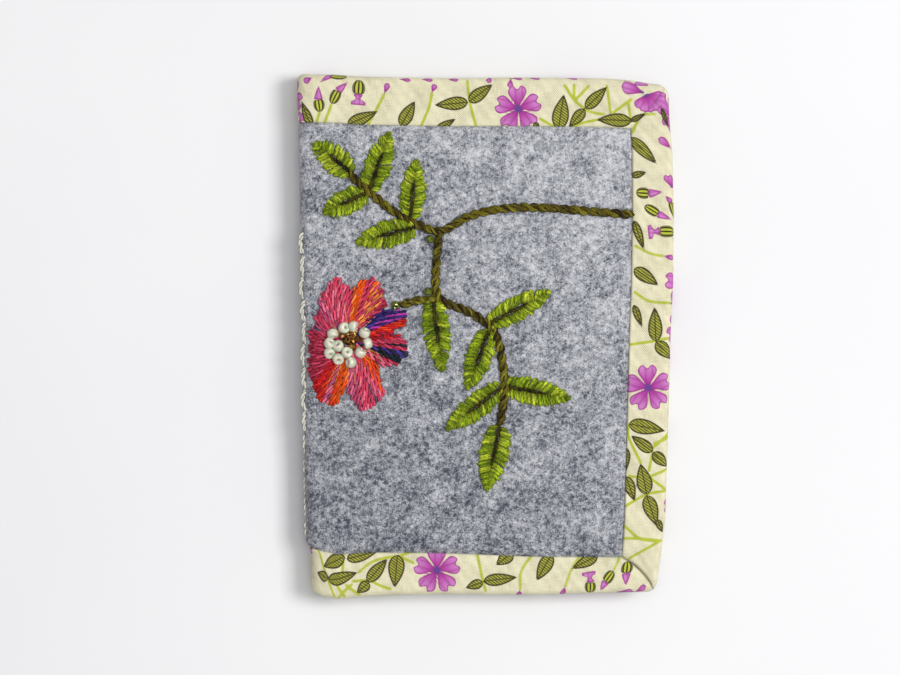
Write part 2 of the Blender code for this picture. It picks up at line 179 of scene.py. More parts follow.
def make_piece(name, points, quads, material, smooth=True, **attributes):
    """Return a mesh object from points in millimetres, with point attributes and faces turned outwards."""
    halves = np.vstack([quads[:, [0, 1, 2]], quads[:, [0, 2, 3]]])
    a, b, c = (points[halves[:, k]] for k in range(3))
    if np.einsum("ij,ij->i", a, np.cross(b, c)).sum() < 0:
        quads = quads[:, ::-1]
    mesh = bpy.data.meshes.new(name)
    mesh.vertices.add(len(points))
    mesh.vertices.foreach_set("co", (points * MM).astype(np.float32).ravel())
    mesh.loops.add(quads.size)
    mesh.loops.foreach_set("vertex_index", quads.astype(np.int32).ravel())
    mesh.polygons.add(len(quads))
    mesh.polygons.foreach_set("loop_start", np.arange(0, quads.size, 4, np.int32))
    mesh.polygons.foreach_set("use_smooth", np.full(len(quads), smooth))
    mesh.update(calc_edges=True)
    mesh.validate()
    for key, values in {**attributes, "rest": points}.items():
        kind, field = ATTRIBUTE_KINDS[values.size // len(points)]
        mesh.attributes.new(key, kind, "POINT").data.foreach_set(field, values.astype(np.float32).ravel())
    mesh.materials.append(material)
    obj = bpy.data.objects.new(name, mesh)
    bpy.context.scene.collection.objects.link(obj)
    return obj


def grid_quads(rows, columns, start=0, wrap_columns=False):
    """Return the quads of a grid of points stored row by row."""
    last = columns if wrap_columns else columns - 1
    r, c = np.meshgrid(np.arange(rows - 1) * columns, np.arange(last), indexing="ij")
    after = (c + 1) % columns
    return np.stack([r + c, r + after, r + columns + after, r + columns + c], -1).reshape(-1, 4) + start


def close_sheet(outer, inner):
    """Return the points and quads of a closed body between two equal grids."""
    rows, columns = outer.shape[:2]
    size = rows * columns
    index = np.arange(size).reshape(rows, columns)
    rim = np.concatenate([index[0], index[1:, -1], index[-1, -2::-1], index[-2:0:-1, 0]])
    after = np.roll(rim, -1)
    sides = np.stack([rim, rim + size, after + size, after], -1)
    top = grid_quads(rows, columns)
    quads = np.vstack([top, top[:, ::-1] + size, sides])
    return np.concatenate([outer.reshape(-1, 3), inner.reshape(-1, 3)]), quads


def tube_rings(path, radius, sides, flatten):
    """Return rings of points round a path, which has its own radius at each point."""
    side, up = sideways(path)
    turn = np.linspace(0, 2 * math.pi, sides, endpoint=False)[None, :, None]
    ring = side[:, None] * np.cos(turn) + up[:, None] * np.sin(turn) * flatten
    return path[:, None] + ring * radius[:, None, None]


# A ply's flattening, and its distance from its thread's middle and its own radius, over the thread's radius.
PLY_FLATTEN, PLY_SWING, PLY_RADIUS = 0.9, 0.46, 0.58
# Painted light on each ply: how bright its colour is painted low down, as shade, and on its upper side, and
# how much painted highlight is added along its crest.
LOW_SHADE, HIGH_SHADE, CREST_HIGHLIGHT = 0.07, 0.95, 0.6
END_SWELL, END_RUN, END_CLOSE = 0.35, 0.35, 0.02


class Threads:
    """Collects thread tubes, which narrow and all but close at both ends, into one piece."""

    def __init__(self):
        self.points, self.quads, self.colours, self.fibres, self.count = [], [], [], [], 0

    def add(self, path, radius, colour, sides=6, flatten=1.0, seed=0.0):
        """Add one tube with a colour for each path point, or one for all of them, painted darker underneath
        as shade and lighter along its top as a highlight.
        """
        along = run_along(path)
        swell = np.minimum(1.0, END_SWELL + np.minimum(along, along[-1] - along) / END_RUN)
        rings = tube_rings(path, radius * swell, sides, flatten)
        ends = path[[0, -1], None]
        closing = ends + END_CLOSE * (rings[[0, -1]] - ends)
        rings = np.concatenate([closing[:1], rings, closing[1:]])
        size = len(rings) * sides
        self.quads.append(grid_quads(len(rings), sides, self.count, wrap_columns=True))
        for first, order in ((self.count, 1), (self.count + size - sides, -1)):
            cap = (first + np.arange(sides))[::order]
            for k in range(1, sides - 2, 2):
                self.quads.append(cap[[0, k + 2, k + 1, k]][None])
        turn = np.arange(sides) * 2 * math.pi / sides
        facing = np.sin(turn)
        # Painted shade on each ring's lower side, and a painted highlight along its top.
        lit = LOW_SHADE + (HIGH_SHADE - LOW_SHADE) * smoothstep(-0.4, 0.85, facing)
        lit = lit + CREST_HIGHLIGHT * smoothstep(0.8, 1.0, facing)
        colour = np.pad(np.broadcast_to(colour, path.shape), ((1, 1), (0, 0)), "edge")
        shades = (colour[:, None] * lit[:, None]).reshape(-1, 3)
        fibre = np.broadcast_arrays(np.pad(along, 1, "edge")[:, None], 0.5 * np.cos(turn), seed)
        self.points.append(rings.reshape(-1, 3))
        self.colours.append(np.insert(shades, 3, 1.0, axis=1))
        self.fibres.append(np.stack(fibre, -1).reshape(-1, 3))
        self.count += size

    def add_plied(self, path, radius, pitch, colours, phase, seed, step=0.2):
        """Add a twisted thread with a ply for each colour, or for each run of colours, that it is given."""
        line = resample(path, step)
        along = run_along(line)
        side, up = sideways(line)
        for k, colour in enumerate(colours):
            turn = (phase + 2 * math.pi * (k / len(colours) - along / pitch))[:, None]
            swing = PLY_SWING * radius * (np.cos(turn) * side + PLY_FLATTEN * np.sin(turn) * up)
            colour = np.atleast_2d(colour)
            places = np.linspace(0, 1, len(colour))
            dyes = np.stack([np.interp(along / along[-1], places, channel) for channel in colour.T], 1)
            self.add(line + swing, radius * PLY_RADIUS, dyes, 6, PLY_FLATTEN, seed + k * 0.37)

    def finish(self, name, material):
        """Return the piece that holds every tube added."""
        return make_piece(name, np.vstack(self.points), np.vstack(self.quads), material,
                          dye=np.vstack(self.colours), fibre=np.vstack(self.fibres))


# ---- from the flat plane to the case
def corner_round(x, y, radius, corner, towards_y):
    """Return points with one square fore corner rounded off in plan."""
    px, py = radius - (corner[0] - x), radius - (corner[1] - y) * towards_y
    inside = (px > 0) & (py > 0)
    scale = np.maximum(px, py) / (np.hypot(px, py) + 1e-9)
    round_x = corner[0] - radius + px * scale
    round_y = corner[1] - towards_y * (radius - py * scale)
    return np.where(inside, round_x, x), np.where(inside, round_y, y)


# How far each outer edge stands from a straight line, as places along it and distances outwards.
FORE_LEAN = ([-66, -60, -54, -48, -30, 0, 12, 30, 46, 56, 64],
             [-2.2, -1.4, -0.6, 0.0, 0.3, 0.6, 1.0, 0.8, 0.2, -0.8, -1.2])
TOP_DIP = ([-46, -38, -30, -10, 10, 30, 37, 41.5, 47], [0.0, -0.1, -0.6, -0.9, -0.7, -0.9, -1.3, -2.0, -2.6])
LOWER_DIP = ([-46.4, -43.5, -39, -30, -13, 10, 30, 47], [1.6, 1.0, 0.2, 0.9, 1.0, 0.4, 0.6, 0.7])
SPINE_TUCK = 1.5
TOP_CORNER_RADIUS, LOWER_CORNER_RADIUS = 2.8, 2.2


def place(x, y, depth, side):
    """Return where a point of the flat plane lies in space, at a depth under the outer face."""
    x, y = np.asarray(x, float), np.asarray(y, float)
    depth = np.broadcast_to(depth, x.shape)
    x, y = corner_round(x, y, TOP_CORNER_RADIUS, FORE_TOP, 1)
    x, y = corner_round(x, y, LOWER_CORNER_RADIUS, FORE_LOWER, -1)
    over = smoothstep(20, 46, x)
    high, low = smoothstep(8, HALF_LENGTH, y), smoothstep(-8, -HALF_LENGTH, y)
    moved_x = x + np.interp(y, *FORE_LEAN) * over
    moved_y = y + np.interp(x, *TOP_DIP) * high + np.interp(x, *LOWER_DIP) * low
    run = moved_x - FLAT_START
    turn = np.clip((run - WALL) / SPINE_RADIUS, 0, math.pi / 2)
    reach = SPINE_RADIUS - depth
    out_x = SPINE_END - reach * np.cos(turn) + np.maximum(run - WALL - ARC, 0)
    height = np.minimum(run, WALL) + reach * np.sin(turn)
    tuck = SPINE_TUCK * smoothstep(-50.5, -55.0, moved_y) * smoothstep(SPINE_END + 5, SPINE_X, out_x)
    return np.stack([out_x + tuck, moved_y, THICK / 2 + side * height], -1)


def edge_at(edge, inset):
    """Return a point and direction of one bound edge of the flat cover, moved inwards."""
    corners = {
        "top": ((SPINE_X, HALF_LENGTH), FORE_TOP),
        "fore": (FORE_TOP, FORE_LOWER),
        "lower": (FORE_LOWER, (SPINE_X, -HALF_LENGTH)),
    }[edge]
    d = np.subtract(corners[1], corners[0])
    d = d / np.hypot(*d)
    return np.array(corners[0]) + np.array([d[1], -d[0]]) * inset, d


def meet(a, b):
    """Return where two lines, each a point and a direction, cross."""
    (p, d), (q, e) = a, b
    t = ((q[0] - p[0]) * e[1] - (q[1] - p[1]) * e[0]) / (d[0] * e[1] - d[1] * e[0])
    return p + d * t


SPINE_MIDDLE = (np.array([FLAT_START, 0.0]), np.array([0.0, 1.0]))


# ---- embroidery layout, as in the CAD model
STEM_PATHS = {
    "stem_across": [(-33.8, 40.5), (-32, 38.5), (-28, 35), (-24.5, 32), (-20.5, 29.5), (-17, 27.6),
                    (-13.5, 26.2), (-11, 26.3), (-8.8, 27.4), (-6, 29.1), (-2, 30.5), (3, 31.4),
                    (8, 31.7), (14.5, 31.5), (20.5, 31), (28, 30.2), (34.9, 29.6)],
    "stem_down": [(-12.3, 24.2), (-12.6, 21.5), (-13, 18), (-13.2, 14.5), (-13.2, 11.4), (-12.4, 9.1),
                  (-10, 7.6), (-6, 6), (-2.5, 4), (0.5, 1.5), (2.2, -2), (3, -6.5), (3.5, -11.5),
                  (3.4, -15.5), (2.8, -19.5), (2.1, -23)],
    "flower_stalk": [(-14.7, 8.7), (-17.5, 8.7), (-20, 8.1), (-21.7, 7.8)],
}
# Each stitched leaf: its tip, its base and its width.
LEAVES = [
    ((-43, 48.5), (-35.2, 42), 5.8),
    ((-24, 51.6), (-29, 38.2), 5.6),
    ((-41, 31), (-31.6, 35.4), 5.4),
    ((-17.5, 44.5), (-19.2, 31.4), 5.4),
    ((-33, 23.5), (-20.5, 26.6), 5.8),
    ((-12, -9.5), (-13.8, 6.4), 5.6),
    ((15.5, 10.5), (1.8, 3.6), 5.2),
    ((-6, -14), (-0.8, -0.8), 5.4),
    ((-11.5, -24), (1.3, -14.4), 5.4),
    ((20, -16.5), (5.6, -13.6), 5.6),
    ((-1.5, -39.5), (1.7, -24.8), 6.2),
]
FLOWER_CENTRE = np.array([-35.2, -1.0])
# Each petal: where its threads start, and its outline as degrees and distance from the flower's centre.
PETALS = {
    "pink_upper": (5.4, [(88, 13), (93, 14.6), (101, 16.4), (110, 15), (118, 13.6), (127, 12), (137, 11.4)]),
    "orange_upper": (5.6, [(45, 13), (52, 15), (60, 16.4), (68, 16.8), (76, 16.2), (84, 12.8)]),
    "violet": (6.3, [(17, 15.6), (21, 16.6), (25, 16), (30, 14.9), (35, 12.6), (41, 11.6)]),
    "navy": (6.6, [(-35, 12), (-26, 14), (-15, 15.2), (-7, 14.6), (0, 13.8), (10, 11.6)]),
    "pink_lower": (7.1, [(-90, 13.6), (-84, 17.2), (-78, 18.4), (-68, 17.8), (-57, 15.6), (-45, 10.2)]),
    "red_lower": (7.4, [(-129, 14.4), (-119, 16.4), (-112, 17.8), (-106, 17.6), (-101, 16.2), (-95, 12.4)]),
    "crimson": (7.3, [(142, 10.2), (152, 10), (163, 10.2), (175, 10.2), (188, 10.2), (202, 11.2),
                      (216, 13.2), (226, 14.6)]),
}
WHITE_BEADS = [(-36.37, 2.15), (-33.97, 2.42), (-31.25, 0.8), (-30.55, -1.85), (-32.37, -4.1),
               (-35.73, -4.1), (-34.77, -6.55), (-37.96, -5.6), (-40.1, -4.1), (-40.05, -1.64),
               (-37.87, -2.39), (-39.2, 0.7)]
GREEN_BEADS = [(-14.4, 24.1), (-15.2, 10.9), (-23.4, 7.6)]
GOLD_BEADS = [(-36.8, 0.1), (-35.4, 0.5), (-34, 0.3), (-32.9, -0.9), (-34.2, -1.4), (-35.6, -1.1),
              (-34.4, -2.6)]


# ---- window between the bindings
SEAM_TOP = (np.array([SPINE_X, 53.7]), np.array([94.0, -2.2]))
SEAM_FORE = (np.array([36.5, 52.0]), np.array([-3.9, -108.0]))
SEAM_LOWER = (np.array([SPINE_X, -54.4]), np.array([80.0, -2.6]))
INNER_TOP_CORNER = meet(SEAM_TOP, SEAM_FORE)
INNER_LOWER_CORNER = meet(SEAM_LOWER, SEAM_FORE)
PUFF = 0.5
PUFF_GRID = 2.0
PUFF_CAP = 0.08
WINDOW_START, WINDOW_END = (FLAT_START, -60.0), (40.0, 58.0)
SIM_SCALE = 0.01
SIM_FRAMES = 20
SIM_PRESSURE = 1.5


def seam_distance(x, y):
    """Return how far a point of the flat plane is inside the window; it is negative under a binding."""
    def side_of(line, sign):
        p, d = line
        return sign * ((x - p[0]) * d[1] - (y - p[1]) * d[0]) / np.hypot(*d)
    return np.minimum.reduce([side_of(SEAM_TOP, 1), side_of(SEAM_FORE, 1), side_of(SEAM_LOWER, -1)])


def line_distance(x, y, points):
    """Return the distance from each point to a run of straight lines."""
    nearest = np.full(np.shape(x), FAR_AWAY)
    for (ax, ay), (bx, by) in zip(points[:-1], points[1:]):
        dx, dy = bx - ax, by - ay
        t = np.clip(((x - ax) * dx + (y - ay) * dy) / (dx * dx + dy * dy), 0, 1)
        nearest = np.minimum(nearest, np.hypot(x - ax - t * dx, y - ay - t * dy))
    return nearest


def stitched_distance(x, y):
    """Return the distance from each point of the front window to the embroidery's main lines."""
    nearest = np.full(np.shape(x), FAR_AWAY)
    for path in STEM_PATHS.values():
        nearest = np.minimum(nearest, line_distance(x, y, path))
    for tip, base, width in LEAVES:
        nearest = np.minimum(nearest, line_distance(x, y, [tip, base]) - width * 0.22)
    ring = np.abs(np.hypot(x - FLOWER_CENTRE[0], y - FLOWER_CENTRE[1]) - 6.5)
    return np.minimum(nearest, ring)


def blow_window(held):
    """Return how a cloth sheet with some points held swells under light pressure, from 0 to about 1."""
    rows, columns = held.shape
    step = PUFF_GRID * SIM_SCALE
    y, x = np.meshgrid(np.arange(rows) * step, np.arange(columns) * step, indexing="ij")
    mesh = bpy.data.meshes.new("window_cloth")
    points = np.stack([x, y, np.zeros_like(x)], -1).reshape(-1, 3)
    mesh.from_pydata(points.tolist(), [], grid_quads(rows, columns).tolist())
    cloth = bpy.data.objects.new("window_cloth", mesh)
    bpy.context.scene.collection.objects.link(cloth)
    group = cloth.vertex_groups.new(name="held")
    group.add(np.flatnonzero(held.ravel()).tolist(), 1.0, "REPLACE")
    settings = cloth.modifiers.new("Cloth", "CLOTH").settings
    settings.quality = 6
    settings.vertex_group_mass = "held"
    settings.use_pressure = True
    settings.uniform_pressure_force = SIM_PRESSURE
    settings.effector_weights.gravity = 0.0
    scene = bpy.context.scene
    scene.frame_start, scene.frame_end = 1, SIM_FRAMES
    for frame_number in range(1, SIM_FRAMES + 1):
        scene.frame_set(frame_number)
    shaped = cloth.evaluated_get(bpy.context.evaluated_depsgraph_get()).to_mesh()
    flat = np.empty(len(shaped.vertices) * 3)
    shaped.vertices.foreach_get("co", flat)
    height = np.clip(np.abs(flat.reshape(rows, columns, 3)[..., 2]), 0, PUFF_CAP)
    scene.frame_set(1)
    bpy.data.objects.remove(cloth)
    return height / max(height.max(), 1e-6)


class Pillow:
    """The soft height of a cover's felt window, read between the points of a cloth simulation."""

    def __init__(self, stitched, seed):
        across, up = (np.arange(a, b, PUFF_GRID) for a, b in zip(WINDOW_START, WINDOW_END))
        y, x = np.meshgrid(up, across, indexing="ij")
        inside = np.minimum(seam_distance(x, y), x - WINDOW_START[0] - 4.0)
        held = inside < 0.5
        if stitched:
            held |= stitched_distance(x, y) < 0.8
        height = blow_window(held)
        self.height = PUFF * height + 0.1 * soft_noise(x, y, 14, seed) * smoothstep(0, 8, inside)
        self.stitched = stitched

    def __call__(self, x, y):
        """Return the height of the felt over the cover's plain outer face."""
        rows, columns = self.height.shape
        u = np.clip((x - WINDOW_START[0]) / PUFF_GRID, 0, columns - 1.001)
        v = np.clip((y - WINDOW_START[1]) / PUFF_GRID, 0, rows - 1.001)
        i, j = v.astype(int), u.astype(int)
        found = blend_corners(self.height, i, j, v - i, u - j)
        if self.stitched:
            found = found - 0.22 * np.exp(-np.square(np.maximum(stitched_distance(x, y), 0) / 1.4))
        return found


# ---- printed cotton
STEM_INK = 0.36
SPRIG_PITCH = 15.0
# How far from its base each kind of motif can reach.
LEAF_REACH, PETAL_REACH, STEM_REACH = 14, 12, 18


class Print:
    """Distances from cloth points to the printed leaves, petals, buds and stems, with places inside each.

    leaf, petal and bud each hold a signed distance, negative inside, then two places within the motif.
    """

    def __init__(self, x, y):
        self.x, self.y = np.asarray(x, float), np.asarray(y, float)
        self.box = self.x.min(), self.x.max(), self.y.min(), self.y.max()
        self.stems = np.full(self.x.shape, FAR_AWAY)
        empty = [self.stems, 0 * self.x, 0 * self.x]
        self.leaves, self.petals, self.buds = np.stack([empty] * 3)

    def near(self, x, y, reach):
        """Say whether a motif at this place can touch the cloth."""
        west, east, south, north = self.box
        return west - reach < x < east + reach and south - reach < y < north + reach

    def frame(self, base, tip):
        """Return the places along and across a line, and its length."""
        d = np.subtract(tip, base)
        length = np.hypot(*d)
        d = d / length
        along = (self.x - base[0]) * d[0] + (self.y - base[1]) * d[1]
        across = (self.y - base[1]) * d[0] - (self.x - base[0]) * d[1]
        return along, across, length

    def keep(self, field, distance, u, v):
        """Put a motif into a field wherever it is the nearest one."""
        closer = distance < field[0]
        for row, values in zip(field, (distance, u, v)):
            row[closer] = values[closer]

    def leaf(self, base, tip, width, bend=0.0):
        """Add a leaf with a round base and a drawn-out tip."""
        if not self.near(*base, LEAF_REACH):
            return
        along, across, length = self.frame(base, tip)
        t = along / length
        inside = np.clip(t, 0.0, 1.0)
        across = across - bend * width * np.sin(math.pi * inside)
        half = width / 2 * 3.0 * inside**0.6 * (1 - inside) ** 1.1
        distance = (np.abs(across) - half) * 0.9
        beyond = np.hypot(along - inside * length, across)
        self.keep(self.leaves, np.where((t < 0) | (t > 1), beyond, distance), along, across)

    def petal(self, base, tip, width, notch=0.0):
        """Add one petal or bud tip: narrow at its base, wide and perhaps notched at its end."""
        if not self.near(*base, PETAL_REACH):
            return
        along, across, length = self.frame(base, tip)
        t = np.clip(along / length, 0, 1)
        round_end = np.sqrt(np.maximum(1 - np.square(np.clip((t - 0.7) / 0.3, 0, 1)), 0))
        half = width / 2 * (0.16 + 0.84 * smoothstep(0.0, 0.74, t)) * round_end
        half = np.where(np.abs(along / length - 0.5) > 0.5, 0.0, half)
        dent = notch * length * np.exp(-np.square(across / (0.13 * length)))
        distance = np.maximum(np.abs(across) - half, along - length + dent)
        self.keep(self.petals, np.maximum(distance, -along), t, across / width)

    def flower(self, x, y, radius, turn=0.0, petals=5, first=0):
        """Add an open flower of notched petals round a dark centre."""
        for k in range(first, first + petals):
            angle = math.radians(turn + 72 * k)
            tip = x + radius * math.cos(angle), y + radius * math.sin(angle)
            self.petal((x, y), tip, radius * 0.77, 0.2)

    def bud(self, base, cup, tip, width, skirt=0.0):
        """Add a bud: a striped calyx from base to cup, and then a pointed tip, or a skirt of that width."""
        if not self.near(*base, PETAL_REACH):
            return
        along, across, length = self.frame(base, cup)
        t = along / length
        inside = np.clip(t, 0, 1)
        half = width / 2 * np.sqrt(np.maximum(1 - np.square((inside - 0.6) / 0.61), 0.001))
        distance = np.maximum((np.abs(across) - half) * 0.8, np.maximum(-along, along - length))
        self.keep(self.buds, distance, inside, np.clip(across / half, -1.5, 1.5))
        along, across, length = self.frame(cup, tip)
        t = np.clip(along / length, 0, 1)
        if skirt:
            waist = 0.8 * width * (1 - smoothstep(0.0, 0.45, t)) + 0.35 * width * smoothstep(0, 0.45, t)
            half = (waist + (skirt - 0.35 * width) * smoothstep(0.5, 0.72, t)) / 2
        else:
            half = 0.4 * width * np.clip(1 - t**1.3, 0, 1)
        distance = np.maximum(np.abs(across) - half, np.maximum(-along, along - length))
        self.keep(self.petals, distance, 0.72 + 0.2 * t, across / width)

    def stem(self, *points, tip=None):
        """Add a thin curved stem, and perhaps a small bud's tip at its end."""
        if not self.near(*points[0], STEM_REACH):
            return
        path = resample(points, 1.2) if len(points) > 2 else np.array(points, float)
        self.stems = np.minimum(self.stems, line_distance(self.x, self.y, path) - STEM_INK)
        if tip:
            self.petal(points[-1], tip, 1.5)

    def sprig(self, x, y, angle, kind, rng):
        """Add a sprig in the same manner: a curved stem with leaf pairs, and a flower or buds at its end."""
        c, s = math.cos(angle), math.sin(angle)

        def at(along, across):
            return x + along * c - across * s, y + along * s + across * c

        sway = rng.uniform(-2.0, 2.0)
        self.stem(at(-7, -sway), at(-3, 0), at(1.5, sway * 0.5), at(6.5, -sway * 0.4))
        for root, hand in ((-5.5, 1), (-2.5, -1), (0.5, 1)):
            reach, lean = rng.uniform(5.5, 7.5), rng.uniform(0.5, 1.0)
            base = at(root, 0.25 * hand * sway)
            tip = at(root + reach * math.cos(lean), hand * reach * math.sin(lean))
            self.leaf(base, tip, rng.uniform(2.7, 3.6), 0.12 * hand)
        if kind == "flower":
            self.flower(*at(9.5, 1.0), rng.uniform(5.0, 5.9), rng.uniform(0, 72))
        elif kind == "buds":
            for spread, skirt in ((-0.5, 0), (0.1, 0), (0.75, 3.6)):
                base = at(5.8 + 1.2 * math.cos(spread), 3.6 * math.sin(spread))
                cup = at(8.8 + 1.4 * math.cos(spread), 5.6 * math.sin(spread))
                tip = at(11.2 + 2.2 * math.cos(spread), 7.8 * math.sin(spread))
                self.stem(at(4, 0), base)
                self.bud(base, cup, tip, 2.6, skirt)
        else:
            for spread in (-0.6, 0.4):
                end = at(9.5, 5 * spread)
                self.stem(at(3, 0), at(6.5, 2.6 * spread), end, tip=at(12, 5.6 * spread))

    def scatter(self, seed, skip=None):
        """Fill the cloth with sprigs, leaving out those whose middle is where skip says."""
        rng = np.random.default_rng(seed)
        kinds = ("flower", "buds", "flower", "tips")
        for row, column in itertools.product(range(-6, 7), repeat=2):
            x = (column + 0.5 * (row % 2)) * SPRIG_PITCH + rng.uniform(-2, 2)
            y = row * SPRIG_PITCH + rng.uniform(-2, 2)
            angle = rng.uniform(0, 2 * math.pi)
            draw = np.random.default_rng([seed, row + 50, column + 50])
            if skip is None or not skip(x, y):
                self.sprig(x, y, angle, kinds[(row * 3 + column) % 4], draw)

    def attributes(self):
        """Return the fields, and the places on the cloth, as point attributes."""
        places = np.stack([self.x, self.y, 0 * self.x])
        fields = {"leaf": self.leaves, "petal": self.petals, "bud": self.buds, "cloth": places}
        flat = {name: field.reshape(3, -1).T for name, field in fields.items()}
        return {**flat, "stem": self.stems.ravel()}


# The front binding's own motifs by kind, each as its Print call takes them, from the top strip round to
# the lower one.
FRONT_MOTIFS = {
    "leaf": [
        ((-43.6, 52.4), (-46.2, 59.2), 2.4), ((-34.6, 53.2), (-26.8, 56.8), 3.2),
        ((-21.3, 53), (-17.6, 59.4), 3.5), ((-4.4, 58.8), (-12.9, 58.2), 3.5),
        ((-12.6, 51.8), (-7.4, 54.8), 2.2), ((-4.2, 58.9), (1.9, 63.2), 3.4),
        ((18.1, 51.6), (19.6, 60.4), 4.3), ((25, 56.7), (30.9, 62.2), 3.3), ((24.8, 56.5), (20.6, 51.9), 3),
        ((36.7, 53.8), (27.6, 53.8), 3.6), ((36.5, 53.6), (40.8, 56.2), 1.5),
        ((44.8, 58), (46.4, 52.2), 1.4), ((12.3, 53.4), (13, 51), 1.6), ((36.2, 49.4), (42.4, 42.9), 3.4),
        ((35.8, 39.4), (39.7, 40.8), 1.9), ((36, 28), (38.3, 20.2), 2.2), ((35.8, 15.8), (41.6, 11.3), 3.4),
        ((41, -2.6), (40.6, 6.2), 3.6), ((35.6, 6.6), (37.7, 0.8), 1.9), ((41, -2.8), (45.5, -7.3), 3.5),
        ((34.2, -23.2), (43.2, -25.2), 4), ((39.9, -30.4), (34.6, -26.1), 3.1),
        ((40, -30.6), (44.1, -34.5), 3.1), ((38.5, -41.2), (36.9, -33.1), 4),
        ((38.4, -41.5), (41, -49.4), 3.8), ((33.4, -29.2), (33.4, -35.3), 2.2),
        ((33.4, -36.6), (35.5, -43), 2.9), ((41, -47.7), (42.9, -51.2), 1.8),
        ((-37.3, -55.2), (-43.6, -58.5), 3.6), ((-36.7, -56), (-28.7, -54.7), 3.3),
        ((-42, -61.2), (-45.6, -60.2), 2.9), ((-41.8, -61.5), (-33.9, -59.6), 3.4),
        ((-31.6, -62.2), (-26.5, -56.5), 3.4), ((-31.2, -62.4), (-34.4, -64.8), 3),
        ((-24, -55.7), (-24.9, -64.1), 4.2), ((-2.8, -62.7), (-7.2, -64.3), 2.6),
        ((-2.6, -62.5), (6, -61.4), 3.2), ((4.8, -55.2), (0.5, -58.5), 3.4),
        ((14.5, -55.8), (10.5, -62.5), 3.7), ((26.2, -56.4), (19.3, -59.6), 3.1),
    ],
    "bud": [
        ((-41.4, 56.3), (-41.8, 59.3), (-41.7, 62.9), 2.8),
        ((-38.5, 58.3), (-36.9, 61.5), (-34.3, 63.9), 2.6),
        ((-31.5, 64.5), (-31.8, 61), (-31.9, 58.2), 3.2, 3.8),
        ((-34.6, 65.4), (-38.6, 65.6), (-41.4, 63.6), 2.2), ((36.8, 35.2), (39.8, 35.2), (43.5, 35.8), 3),
        ((38.7, 31.9), (41.8, 29.9), (45.5, 28.3), 2.6),
        ((46.3, 25.3), (42.2, 25.3), (39.3, 25.1), 3.1, 3.7),
        ((46.6, 29.2), (45.4, 33.1), (43.8, 34.8), 2.4), ((33.7, -58.4), (33.7, -61.2), (34.1, -64.3), 2.9),
        ((30.4, -60.4), (28.3, -63), (26.7, -65.5), 2.7),
        ((24.2, -65.8), (24.2, -63.1), (23.8, -60.4), 3, 3.7),
    ],
    "petal": [
        ((-43.2, 65), (-45.4, 63.8), 1.8), ((40.6, 61.4), (34.8, 62.6), 3.6),
        ((41, 61), (38.8, 56.8), 3.4, 0.1), ((41, 61), (41.4, 56.2), 3.4, 0.1),
        ((41, 61), (44.6, 57.6), 3.4, 0.1), ((41, 61), (46.6, 60.6), 3.4, 0.1),
        ((-21.6, 65), (-18.6, 64.6), 1.3), ((-16.1, 65), (-13.1, 64.6), 1.3),
        ((-9.6, 65), (-6.6, 64.6), 1.3), ((6.4, 65), (9.4, 64.6), 1.3), ((10.9, 65), (13.9, 64.6), 1.3),
        ((20.4, 65), (23.4, 64.6), 1.3), ((46.6, 47.2), (43.3, 50.1), 2.2),
        ((45.6, 37), (44.8, 40.6), 2.8, 0.18), ((45.6, 37), (47.8, 39.6), 2.8, 0.18),
        ((-46.8, -52.4), (-44.9, -53.6), 2.2, 0.18), ((31.6, -66), (36.4, -66.2), 2.4),
        ((36.8, -66.2), (39.4, -64.6), 1.8),
    ],
    "flower": [
        (8.1, 56.8, 6.1, 92), (39, -14.2, 6.1, 20), (48.4, 12, 5.6, 100, 3), (47.6, -44.2, 5, 112, 5),
        (-14.2, -59.8, 6.1, 90),
    ],
    "stem": [
        ((-42.8, 52.4), (-41.6, 56)), ((-40.8, 52.4), (-38.6, 58)),
        ((-2.3, 51.8), (-3.9, 58.5), (-4.5, 64.2)), ((19.8, 62.6), (22.3, 58.7), (24.7, 56.8)),
        ((22.2, 62.6), (22.1, 59)), ((25.9, 62.3), (22.3, 58.7)), ((24.9, 56.4), (27.5, 55.5), (29.8, 55.2)),
        ((30.8, 62.4), (31.5, 55.6)), ((32.4, 55.8), (37, 59.2)), ((36.3, 58.8), (36.6, 53.6)),
        ((13.6, 54.2), (17.2, 52)), ((20.4, 51.6), (24, 53), (28, 53.8)),
        ((36.8, 50.8), (39.4, 55.4), (43, 56.2)), ((34.5, -3.3), (40, -2.6), (45.6, -1.6)),
        ((34.2, -23.5), (34.1, -26.5), (37, -33.2)), ((40, -30.4), (39, -35.2)),
        ((40, -29.4), (44.5, -25.5)), ((40.4, -28.3), (44.4, -26.8)),
        ((34.1, -36.5), (38.5, -36.8), (43.7, -34.9)), ((39, -36.8), (43.6, -40.4)),
        ((33.1, -44.1), (38.4, -41.2), (43.5, -40.4)), ((32.8, -49), (37, -52.4), (42.5, -53.1)),
        ((32.8, -52.2), (37, -52.4), (42, -53)), ((34.3, -57.6), (38, -55.4), (42, -53.2)),
        ((-44.8, -54.2), (-43.5, -58.1), (-41.5, -62.4), (-40, -65.4)), ((-37.5, -54.7), (-37.8, -59)),
        ((-39.6, -62), (-38.6, -63.6), (-37.4, -65.4)), ((-35.6, -62.5), (-37.4, -64), (-39, -65.8)),
        ((-36.8, -62.6), (-35.3, -64), (-33.6, -65.3)),
        ((-33.8, -59.6), (-30.6, -57.4), (-26.6, -56.3), (-24, -56.1), (-19.7, -54.7)),
        ((-35.2, -61.7), (-31.2, -61.9), (-28.6, -63.3), (-26, -64.2)), ((-23.4, -56.1), (-20.1, -57.8)),
        ((-4.2, -55), (-2.8, -62.3), (-2.1, -65)), ((32.2, -56.2), (30.5, -60.1)),
    ],
}
